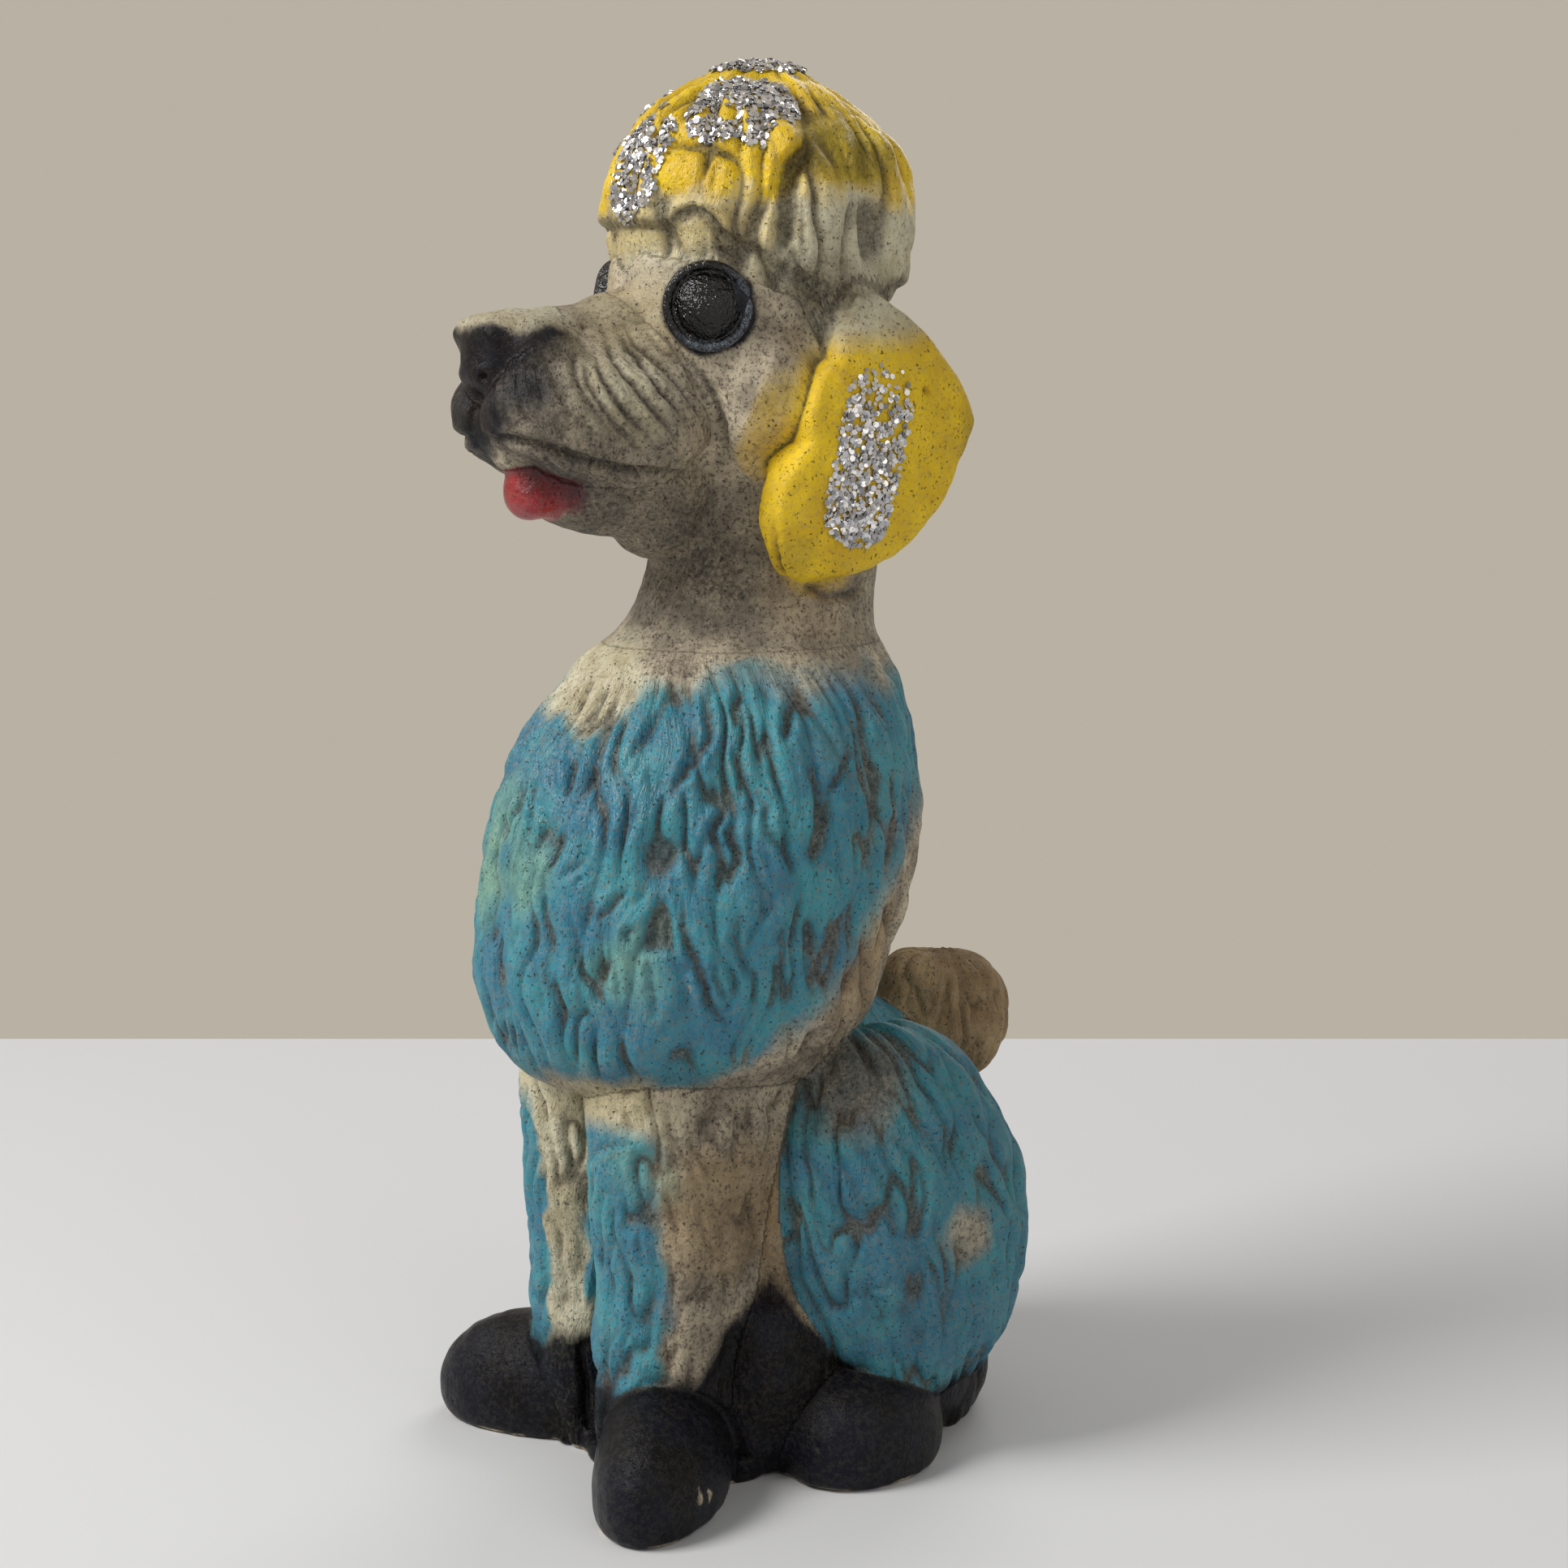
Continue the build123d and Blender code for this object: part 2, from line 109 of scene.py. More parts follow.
def add_lamp(name, place, aim, size, power):
    """A square soft light, turned from its place towards its aim."""
    lamp = bpy.data.objects.new(name, bpy.data.lights.new(name, "AREA"))
    lamp.data.size = size
    lamp.data.energy = power
    lamp.location = place
    lamp.rotation_euler = (Vector(aim) - Vector(place)).to_track_quat("-Z", "Y").to_euler()
    bpy.context.collection.objects.link(lamp)


for lamp_name, lamp_row in LAMPS.items():
    add_lamp(lamp_name, *lamp_row)

world = bpy.data.worlds.new("room")
world.use_nodes = True
bpy.context.scene.world = world
tree = world.node_tree
tree.nodes.clear()
seen = add_node(tree, "LightPath", output="Is Camera Ray")
for ray_kind in ("Is Glossy Ray", "Is Transmission Ray"):
    other_ray = add_node(tree, "LightPath", output=ray_kind)
    seen = add_node(tree, "Math", {0: seen, 1: other_ray}, operation="MAXIMUM")
lit = add_node(tree, "Background", {"Color": linear("#FFFFFF"), "Strength": ROOM_STRENGTH})
wall = add_node(tree, "Background", {"Color": linear(WALL_BEIGE), "Strength": 1.0})
mixed = add_node(tree, "MixShader", {0: seen, 1: lit, 2: wall})
add_node(tree, "OutputWorld", {"Surface": mixed})

# The casting. The real figure is one hollow cast of soft plaster, so all its modelled forms
# run into each other with melted creases. One clay skin is drawn over copies of the forms,
# then carved and painted as a whole, and at the end parted again into its forms.
CAST_FORMS = ("torso", "neck", "head", "muzzle", "lower_jaw", "rump", "left_haunch", "right_haunch",
              "left_foreleg", "right_foreleg", "left_forepaw", "right_forepaw", "left_hind_foot",
              "right_hind_foot", "tail", "topknot", "left_ear", "right_ear", "nose", "tongue")
SKIN_STEP = 0.6      # mm between the points of the skin

# Fillings where forms flow together: middle, half-sizes, turn in degrees; all are put on both sides
FILLINGS = (
    ((21, 4, 243), (9, 11, 20), (0, 0, 8)),          # cheek, in front of the ear
    ((21, -1, 262), (7, 9, 6), (0, 0, 0)),           # behind the eye
    ((0, -31, 253), (9, 20, 8.5), (0, 0, 0)),        # bridge
    ((0, -20, 257), (9, 13, 7.5), (0, 0, 0)),        # rise from the bridge to the forehead
    ((0, -45, 252), (12, 11.5, 8.5), (0, 0, 0)),     # ball of the nose
    ((8, -43.5, 251), (7.5, 8.5, 8), (0, 0, 0)),     # wing of the nose
    ((6, -44.5, 237), (9, 11, 9), (0, 0, 0)),        # front of the lips
    ((28, 8, 240), (8.5, 11, 17), (0, 0, 0)),        # front edge of the ear
    ((0, -11, 215), (14, 10, 9), (20, 0, 0)),        # throat
    ((0, 14.5, 282), (31.5, 34.5, 30.5), (0, 0, 0)), # dome of the topknot
    ((26, 5, 294), (5.5, 5.5, 5.5), (0, 0, 0)),      # round curl over the ear
    ((14, 4, 96), (20, 26, 9), (0, 0, 0)),           # belly over the forelegs
    ((25, 8, 60), (9, 13, 36), (0, 0, 0)),           # between foreleg and haunch
    ((27, 4, 24), (10, 17, 22), (0, 0, 0)),          # between the feet
    ((0, 58, 88), (12, 12, 12), (0, 0, 0)),          # root of the tail
)
# Outline of the ear seen from the side, from its top round its back: y and z in mm
EAR_OUTLINE = ((20, 266), (32, 261), (43, 251), (52.5, 237), (48, 227), (39, 214), (27, 205), (13, 202),
               (5, 203), (-1, 215), (7, 232), (14, 250))
EAR_MIDDLE = (22, 230)
EAR_SECTORS = 36
# The web: skin that stands off every form, below this height and in front of this depth
WEB_GAP, WEB_TOP, WEB_BACK = 1.2, 88, 40
# The forepaws: heading and middle of the left one, and how much longer and slimmer it gets
PAW_HEADING, PAW_MIDDLE = (0.743, -0.669), (27, -26)
PAW_LONGER, PAW_SLIMMER = 0.14, 0.13
# Lower edge of the topknot from front to back: depth and height
BRIM_DEPTHS = (-18, -13, -8, -1, 2, 7, 15, 26, 34, 50)
BRIM_HEIGHTS = (279, 280, 276, 273, 271, 269, 265, 266, 268, 268)
BRIM_SET_BACK = 1.9
MELT_SHARE = 0.6            # how far one round of melting goes towards the neighbours' mean


def copy_of(node_name, new_name):
    """A loose copy of a CAD node's mesh, with its doubled corners merged."""
    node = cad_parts[node_name]
    copy = bpy.data.objects.new(new_name, node.data.copy())
    bpy.context.collection.objects.link(copy)
    copy.data.transform(node.matrix_world)
    copy.data.materials.clear()
    bpy.ops.object.select_all(action="DESELECT")
    bpy.context.view_layer.objects.active = copy
    copy.select_set(True)
    bpy.ops.object.mode_set(mode="EDIT")
    bpy.ops.mesh.select_all(action="SELECT")
    bpy.ops.mesh.remove_doubles(threshold=1e-6)
    bpy.ops.object.mode_set(mode="OBJECT")
    return copy


def join(objects):
    """Joins objects into the first of them."""
    bpy.ops.object.select_all(action="DESELECT")
    for member in objects:
        member.select_set(True)
    bpy.context.view_layer.objects.active = objects[0]
    bpy.ops.object.join()
    return objects[0]


def remesh(target, step):
    """Draws an even skin over everything in the object, and keeps only the outer one."""
    bpy.ops.object.select_all(action="DESELECT")
    bpy.context.view_layer.objects.active = target
    target.select_set(True)
    skinning = target.modifiers.new("skin", "REMESH")
    skinning.mode = "VOXEL"
    skinning.voxel_size = step * MM
    bpy.ops.object.modifier_apply(modifier=skinning.name)
    bpy.ops.object.mode_set(mode="EDIT")
    bpy.ops.mesh.separate(type="LOOSE")
    bpy.ops.object.mode_set(mode="OBJECT")
    shells = sorted(bpy.context.selected_objects, key=lambda shell: len(shell.data.vertices))
    for shell in shells[:-1]:
        bpy.data.objects.remove(shell)
    return shells[-1]


forms = []
for number, form in enumerate(CAST_FORMS):
    copy = copy_of(form, "form_" + form)
    owner = copy.data.attributes.new("form", "INT", "FACE")
    owner.data.foreach_set("value", np.full(len(copy.data.polygons), number, dtype=np.int32))
    forms.append(copy)
clay = join(forms)
form_of_face = np.empty(len(clay.data.polygons), dtype=np.int32)
clay.data.attributes["form"].data.foreach_get("value", form_of_face)
form_tree = BVHTree.FromPolygons([v.co for v in clay.data.vertices],
                                 [p.vertices[:] for p in clay.data.polygons])

fillings = [clay]
for middle, half_sizes, turn in FILLINGS:
    for side in (1, -1):
        bpy.ops.mesh.primitive_ico_sphere_add(
            subdivisions=4, radius=MM, location=(side * middle[0] * MM, middle[1] * MM, middle[2] * MM),
            rotation=[math.radians(turn[0]), 0, math.radians(side * turn[2])], scale=half_sizes)
        bpy.ops.object.transform_apply(location=True, rotation=True, scale=True)
        fillings.append(bpy.context.object)
clay = remesh(join(fillings), SKIN_STEP)

mesh = clay.data
count = len(mesh.vertices)
points = np.empty(count * 3)
mesh.vertices.foreach_get("co", points)
points = points.reshape(-1, 3) / MM
edges = np.empty(len(mesh.edges) * 2, dtype=np.int32)
mesh.edges.foreach_get("vertices", edges)
edges = edges.reshape(-1, 2)
neighbours = np.bincount(edges.ravel(), minlength=count).astype(float)


def spread_out(values):
    """The mean of each point's neighbours on the skin."""
    columns = values.reshape(count, -1)
    result = np.empty_like(columns, dtype=float)
    for i in range(columns.shape[1]):
        result[:, i] = (np.bincount(edges[:, 0], columns[edges[:, 1], i], count)
                        + np.bincount(edges[:, 1], columns[edges[:, 0], i], count)) / neighbours
    return result.reshape(values.shape)


def melt(places, reach):
    """Softens the skin, or a value on it, over a reach in mm."""
    for _ in range(max(1, round((reach / SKIN_STEP) ** 2))):
        places = places + MELT_SHARE * (spread_out(places) - places)
    return places


def surface_normals(places):
    """The direction in which the skin faces at each of its points."""
    mesh.vertices.foreach_set("co", (places * MM).ravel())
    mesh.update()
    normals = np.empty(count * 3)
    mesh.vertices.foreach_get("normal", normals)
    return normals.reshape(-1, 3)


def ramp(value, low, high):
    """0 below low, 1 above high, and a smooth rise between them; high may be the lower one."""
    share = np.clip((value - low) / (high - low), 0, 1)
    return share * share * (3 - 2 * share)


def ripple(places, size, seed):
    """A soft random wave, from -1 to 1, with humps of a size in mm."""
    moved = places / size + 17.31 * seed
    return np.clip([1.7 * noise.noise(place) for place in moved.tolist()], -1, 1)


points = melt(points, 3.0)
normals = surface_normals(points)
nearest = [form_tree.find_nearest(Vector(p)) for p in points * MM]
form_at = np.array([form_of_face[found[2]] for found in nearest])
stands_off = np.array([found[3] for found in nearest]) > WEB_GAP * MM
between_legs = stands_off & (points[:, 2] < WEB_TOP) & (points[:, 1] < WEB_BACK)
form_at[between_legs] = CAST_FORMS.index("rump")


def on(*names):
    """1 on the skin of the named forms, 0 elsewhere."""
    return np.isin(form_at, [CAST_FORMS.index(name) for name in names]).astype(float)


rounder = melt(on("nose", "tongue"), 1.6)[:, None]
points = points + rounder * (melt(points, 2.5) - points)
ear_share = melt(on("left_ear", "right_ear"), 1.5)
from_ear = points[:, 1:] - EAR_MIDDLE
ear_reach = np.hypot(*from_ear.T)
bearing = np.arctan2(from_ear[:, 1], from_ear[:, 0])
outline = np.array(EAR_OUTLINE) - EAR_MIDDLE
turns = np.arctan2(outline[:, 1], outline[:, 0])
order = np.argsort(turns)
wanted = np.interp(bearing, turns[order], np.hypot(*outline.T)[order], period=2 * math.pi)
sectors = ((bearing + math.pi) / (2 * math.pi) * EAR_SECTORS).astype(int) % EAR_SECTORS
widest = np.array([ear_reach[(sectors == k) & (ear_share > 0.6)].max() for k in range(EAR_SECTORS)])
middles = (np.arange(EAR_SECTORS) + 0.5) / EAR_SECTORS * 2 * math.pi - math.pi
present = np.interp(bearing, middles, widest, period=2 * math.pi)
how_far_out = np.clip(ear_reach / present, 0, 1) ** 2
squeeze = 1 + (wanted / present - 1) * np.clip(1.5 * ear_share, 0, 1) * how_far_out
points[:, 1:] = EAR_MIDDLE + from_ear * squeeze[:, None]
points = points + melt(ear_share, 2.0)[:, None] * (melt(points, 0.9) - points)

points = points - (1.5 * melt(on("tongue"), 1.2))[:, None] * normals

# The forepaws are longer and slimmer than the forms under them
for side in (1, -1):
    paw_share = melt(on("left_forepaw" if side == 1 else "right_forepaw"), 1.5)
    ahead = np.array((side * PAW_HEADING[0], PAW_HEADING[1]))
    from_paw = points[:, :2] - (side * PAW_MIDDLE[0], PAW_MIDDLE[1])
    forward = from_paw @ ahead
    aside = from_paw - forward[:, None] * ahead
    longer = PAW_LONGER * np.maximum(forward, 0)[:, None] * ahead
    points[:, :2] += paw_share[:, None] * (longer - PAW_SLIMMER * aside)

# The cap of locks overhangs the brow and the ears: below its brim the skin is set back
brim = np.interp(points[:, 1], BRIM_DEPTHS, BRIM_HEIGHTS)
brim += 1.2 * ripple(points, 7, 5)
under_brim = melt(on("topknot"), 0.9) * ramp(brim - points[:, 2], -0.6, 1.8)
points = points - (BRIM_SET_BACK * under_brim)[:, None] * normals
normals = surface_normals(points)
points = points + normals * (0.35 * ripple(points, 26, 3) * (1 - on("nose", "tongue")))[:, None]
x, y, z = points.T
carved = np.zeros(count)          # how deep the tool went, in mm
raised = np.zeros(count)          # how high the pushed-up edges stand
skin_tree = kdtree.KDTree(count)
for i, place in enumerate(points):
    skin_tree.insert(place, i)
skin_tree.balance()


# The loop tool. Lengths are in widths of the tool: step along a cut, reach of its effect, and the
# height, place and width of the ridge that it pushes up; a cut starts at a share of its depth.
CUT_STEP, CUT_REACH = 0.55, 3.0
RIDGE_HEIGHT, RIDGE_PLACE, RIDGE_WIDTH = 0.30, 1.75, 0.62
START_SHARE, DEEPENING = 0.25, 2.6
TOOL_SHARE = 0.66           # width of the tool against the width of the groove as traced


def stroke(path, depth, width):
    """Cuts one groove along a path over the skin: it starts and ends shallow, and pushes up
    a low ridge on each side."""
    path = [Vector(place) for place in path]
    samples = []
    for i in range(len(path) - 1):
        before = path[max(i - 1, 0)]
        start, end = path[i], path[i + 1]
        after = path[min(i + 2, len(path) - 1)]
        steps = max(2, round((end - start).length / (CUT_STEP * width)))
        for k in range(steps):
            t = k / steps
            samples.append(0.5 * (2 * start + (end - before) * t
                                  + (2 * before - 5 * start + 4 * end - after) * t * t
                                  + (3 * start - before - 3 * end + after) * t ** 3))
    samples.append(path[-1])
    last = len(samples) - 1
    for k, sample in enumerate(samples):
        place = skin_tree.find(sample)[0]
        taper = min(1, START_SHARE + DEEPENING * min(k, last - k) / max(last, 1))
        found = skin_tree.find_range(place, CUT_REACH * width)
        near = np.fromiter((f[1] for f in found), dtype=np.int64)
        away = np.fromiter((f[2] for f in found), dtype=float) / width
        groove = depth * taper * np.exp(-away ** 1.6)
        ridge = RIDGE_HEIGHT * depth * taper * np.exp(-((away - RIDGE_PLACE) / RIDGE_WIDTH) ** 2)
        carved[near] = np.maximum(carved[near], groove)
        raised[near] = np.maximum(raised[near], ridge)


# Tracing. The grooves were traced on four enlargements of the photo. Each traced place is
# cast from the camera onto the CAD model, so that the groove lies on what carries it.
PHOTO_WIDTH = 1932          # pixels; the photo is square
LENS_PIXELS = 3126          # focal length of the camera, in pixels of the photo
TRACED_WIDTH = 1568         # units across each enlargement
# Left, top and width of each enlargement, in pixels of the photo
TOPKNOT_VIEW = (700, 60, 480)
MUZZLE_VIEW = (590, 360, 420)
COAT_VIEW = (580, 760, 580)
LIMB_VIEW = (580, 1180, 720)

corners, corner_lists = [], []
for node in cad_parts.values():
    first = len(corners)
    corners += [node.matrix_world @ v.co / MM for v in node.data.vertices]
    corner_lists += [[first + i for i in p.vertices] for p in node.data.polygons]
model_tree = BVHTree.FromPolygons(corners, corner_lists)
camera_eye = Vector(CAMERA_PLACE) / MM
camera_axes = camera.rotation_euler.to_matrix()


def on_model(view, across, down):
    """The place on the CAD model, in whole mm, under a place traced on an enlargement."""
    left, top, width = view
    pixel_x = left + across * width / TRACED_WIDTH - PHOTO_WIDTH / 2
    pixel_y = PHOTO_WIDTH / 2 - top - down * width / TRACED_WIDTH
    ray = camera_axes @ Vector((pixel_x, pixel_y, -LENS_PIXELS))
    return [round(value) for value in model_tree.ray_cast(camera_eye, ray)[0]]


def both_sides(strokes, view, wander=1.2, finest=0.8, seed=1):
    """Cuts strokes on the left, and on the right again with a slightly different hand. A place of
    two numbers was traced on the enlargement, and one of three numbers is set in mm."""
    rolls = np.random.default_rng(seed)
    for depth, traced_width, traced in strokes:
        width = max(finest, round(TOOL_SHARE * traced_width, 2))
        path = [on_model(view, *place) if len(place) == 2 else place for place in traced]
        stroke(path, depth, width)
        shift = rolls.normal(0, wander, 3)
        stroke([(-place[0], place[1] + shift[1], place[2] + shift[2]) for place in path],
               depth * rolls.uniform(0.85, 1.1), width)


# Topknot. A clipped cap of wool, cut into the model with a loop tool as short wavy locks that
# fall from the crown, with one round curl and one deep parting above each ear.
TOPKNOT_STROKES = (
    (1.0, 1.5, [(385, 250), (375, 330), (372, 420), (400, 560)]),
    (0.9, 1.4, [(455, 270), (450, 350), (470, 440), (480, 540)]),
    (1.0, 1.4, [(520, 370), (530, 450), (545, 560), (575, 640)]),
    (1.1, 1.6, [(640, 420), (600, 480), (585, 560)]),
    (1.4, 1.7, [(690, 230), (690, 330), (700, 400), (690, 470), (700, 560)]),
    (3.2, 3.33, [(1000, 380), (930, 470), (885, 560), (880, 640), (870, 740), (830, 830)]),
    (1.4, 1.5, [(930, 270), (965, 330), (955, 400), (900, 440), (840, 425)]),
    (1.0, 1.5, [(1000, 430), (990, 480), (1005, 540), (1015, 600)]),
    (1.0, 1.5, [(1060, 370), (1090, 440), (1130, 540), (1150, 620)]),
    (1.0, 1.5, [(1150, 350), (1180, 430), (1200, 520), (1215, 600)]),
    (0.9, 1.4, [(1215, 340), (1235, 420), (1248, 500)]),
    (1.2, 1.5, [(1275, 420), (1280, 520), (1310, 640)]),
    (1.2, 1.8, [(950, 560), (940, 700), (950, 850)]),
    (1.3, 1.7, [(880, 190), (960, 260), (1010, 340)]),
    (0.8, 1.4, [(960, 200), (1040, 260), (1130, 300)]),
    (2.2, 2.12, [(340, 690), (400, 695), (450, 670), (520, 670), (580, 700), (620, 760), (700, 800),
                (760, 800), (830, 830)]),
    (1.4, 1.7, [(940, 880), (1000, 960), (1090, 990), (1140, 950), (1260, 950)]),
    (0.7, 1.3, [(330, 470), (320, 560), (340, 640)]),
    (0.8, 1.3, [(760, 410), (750, 500), (765, 600)]),
    (0.8, 1.3, [(640, 640), (660, 720), (690, 780)]),
    (0.8, 1.3, [(820, 480), (815, 580), (800, 680)]),
)
both_sides(TOPKNOT_STROKES, TOPKNOT_VIEW, seed=11)

# Muzzle and face. The lip pads are ridged with long curved cuts that run from the bridge down
# and back, and a deep cut parts the pads from the lower jaw. The face itself is left smooth.
MUZZLE_STROKES = (
    (1.6, 1.0, [(575, 165), (600, 260), (650, 350), (720, 430), (790, 520), (870, 640), (950, 740)]),
    (1.6, 1.0, [(640, 165), (680, 250), (740, 320), (820, 420), (900, 520), (980, 640)]),
    (1.6, 1.0, [(690, 160), (730, 240), (800, 310), (880, 400), (960, 500), (1030, 610)]),
    (1.4, 1.0, [(780, 180), (840, 260), (930, 330), (1000, 420), (1060, 520), (1100, 620)]),
    (1.6, 1.0, [(520, 280), (560, 370), (620, 450), (700, 560), (780, 660), (850, 740)]),
    (1.6, 1.0, [(480, 300), (500, 400), (560, 500), (640, 600), (720, 690), (790, 760)]),
    (1.4, 1.0, [(430, 230), (440, 350), (480, 450), (540, 550), (620, 650), (690, 730)]),
    (1.1, 1.0, [(380, 480), (430, 560), (500, 640), (580, 720)]),
    (1.7, 1.8, [(830, 180), (930, 270), (1020, 380), (1090, 500), (1130, 620), (1130, 740), (1060, 850)]),
    (2.4, 2.0, [(0, -53, 233), (100, 680), (200, 700), (330, 720), (440, 770), (560, 800), (700, 820),
                (850, 830), (960, 830)]),
    (0.8, 1.4, [(560, 870), (700, 930), (850, 930), (950, 870)]),
)
both_sides(MUZZLE_STROKES, MUZZLE_VIEW, wander=0.5, finest=1.0, seed=12)

# Ears. Plain flaps, smooth outside. A tool has undercut their free lower edge where it hangs
# over the neck.
EAR_STROKES = (
    (1.8, 1.6, [(1340, 980), (1340, 1080), (1360, 1240), (1400, 1290), (27, 10, 201), (28, 20, 198),
                (28, 32, 199), (28, 42, 205)]),
    (1.0, 1.6, [(30, 38, 262), (29, 46, 250), (28, 52, 238)]),
)
both_sides(EAR_STROKES, MUZZLE_VIEW, wander=0.3, seed=13)

# Coat. The wool over chest and back is carved in long wavy locks that part and meet like
# flames, deep on the flanks and shallow near the collar, where a punch has left a row of dents.
COAT_STROKES = (
    (1.6, 1.8, [(700, 200), (650, 290), (610, 360), (560, 450), (500, 530)]),
    (1.9, 1.9, [(820, 190), (795, 290), (800, 400), (740, 500), (670, 600), (640, 650)]),
    (2.2, 2.0, [(905, 240), (880, 300), (895, 370)]),
    (2.2, 2.0, [(1060, 290), (1060, 350), (1050, 410)]),
    (2.0, 1.9, [(880, 430), (890, 500), (910, 560), (905, 610)]),
    (2.0, 1.9, [(850, 490), (835, 570), (850, 640), (820, 700), (810, 760), (870, 870)]),
    (2.3, 2.2, [(870, 680), (860, 740), (890, 800), (870, 860)]),
    (1.4, 1.8, [(940, 560), (980, 640), (990, 720), (1080, 830), (1110, 870)]),
    (1.4, 1.8, [(1100, 430), (1130, 520), (1160, 580), (1150, 650), (1160, 720)]),
    (1.7, 1.8, [(1240, 390), (1260, 450), (1210, 550), (1160, 620)]),
    (1.9, 2.0, [(700, 920), (715, 1040), (740, 1130), (780, 1230), (800, 1290), (860, 1370), (880, 1400)]),
    (1.6, 1.8, [(530, 900), (470, 970), (430, 1010), (440, 1060)]),
    (1.0, 1.8, [(640, 850), (690, 900), (680, 980), (690, 1060)]),
    (1.2, 1.8, [(480, 290), (400, 330), (380, 400), (350, 500), (350, 560)]),
    (1.1, 1.8, [(300, 420), (280, 520), (290, 600)]),
    (1.3, 1.8, [(560, 620), (530, 700), (480, 790)]),
    (1.2, 1.8, [(240, 620), (250, 720), (270, 860)]),
    (1.3, 1.8, [(330, 1000), (350, 1100), (330, 1250)]),
    (1.1, 1.8, [(460, 1100), (490, 1200), (500, 1300)]),
    (1.5, 1.6, [(560, 1040), (520, 1060), (540, 1110)]),
    (1.6, 1.8, [(1080, 980), (1030, 1060), (1040, 1130), (1020, 1240), (1000, 1300)]),
    (1.4, 1.8, [(1160, 960), (1140, 1060), (1120, 1150), (1150, 1230), (1100, 1340)]),
    (1.4, 1.8, [(900, 980), (880, 1080), (930, 1180), (950, 1230)]),
    (1.4, 1.8, [(820, 1130), (810, 1200), (860, 1300)]),
    (0.7, 1.2, [(1110, 190), (1150, 260), (1180, 330)]),
    (0.7, 1.2, [(1190, 190), (1240, 300), (1270, 400)]),
    (0.7, 1.2, [(1260, 190), (1330, 320), (1400, 430), (1420, 520)]),
    (0.7, 1.2, [(1350, 200), (1410, 330), (1440, 450)]),
    (0.9, 1.4, [(1300, 480), (1320, 600), (1330, 760), (1310, 900)]),
    (0.9, 1.4, [(1370, 460), (1400, 600), (1410, 780), (1380, 900)]),
    (0.9, 1.4, [(1250, 640), (1270, 740), (1290, 860)]),
    (0.9, 1.4, [(1200, 700), (1230, 800), (1220, 900)]),
    (0.6, 1.2, [(330, 230), (430, 180), (560, 150), (640, 120)]),
    (0.6, 1.2, [(350, 280), (450, 220), (570, 200)]),
    (1.0, 1.8, [(190, 480), (180, 600), (160, 700)]),
    (1.1, 1.8, [(220, 800), (200, 900), (190, 1000)]),
    (1.1, 1.8, [(120, 900), (130, 1020), (160, 1150)]),
    (1.1, 1.8, [(210, 1120), (230, 1230), (250, 1330)]),
    (1.1, 1.8, [(590, 400), (560, 500), (520, 560)]),
    (1.1, 1.6, [(400, 700), (380, 800), (300, 880)]),
    (1.1, 1.6, [(590, 1120), (600, 1220), (620, 1330)]),
    (1.1, 1.6, [(970, 880), (1000, 950), (960, 1020)]),
    (1.1, 1.6, [(1230, 960), (1260, 1040), (1240, 1150)]),
    (1.0, 1.6, [(1330, 940), (1340, 1030), (1300, 1120)]),
)
both_sides(COAT_STROKES, COAT_VIEW, wander=2.0, seed=14)

COLLAR_DENTS = ((1, -30, 181), (6, -27, 183), (12, -24, 184), (18, -21, 184), (24, -15, 184),
                (28, -8, 184), (22, -19, 182))
DENT_REACH, DENT_DEPTH, DENT_WIDTH = (0.4, 0.2, -0.6), 1.6, 1.3
for dent in COLLAR_DENTS:
    stroke([dent, Vector(dent) + Vector(DENT_REACH)], DENT_DEPTH, DENT_WIDTH)

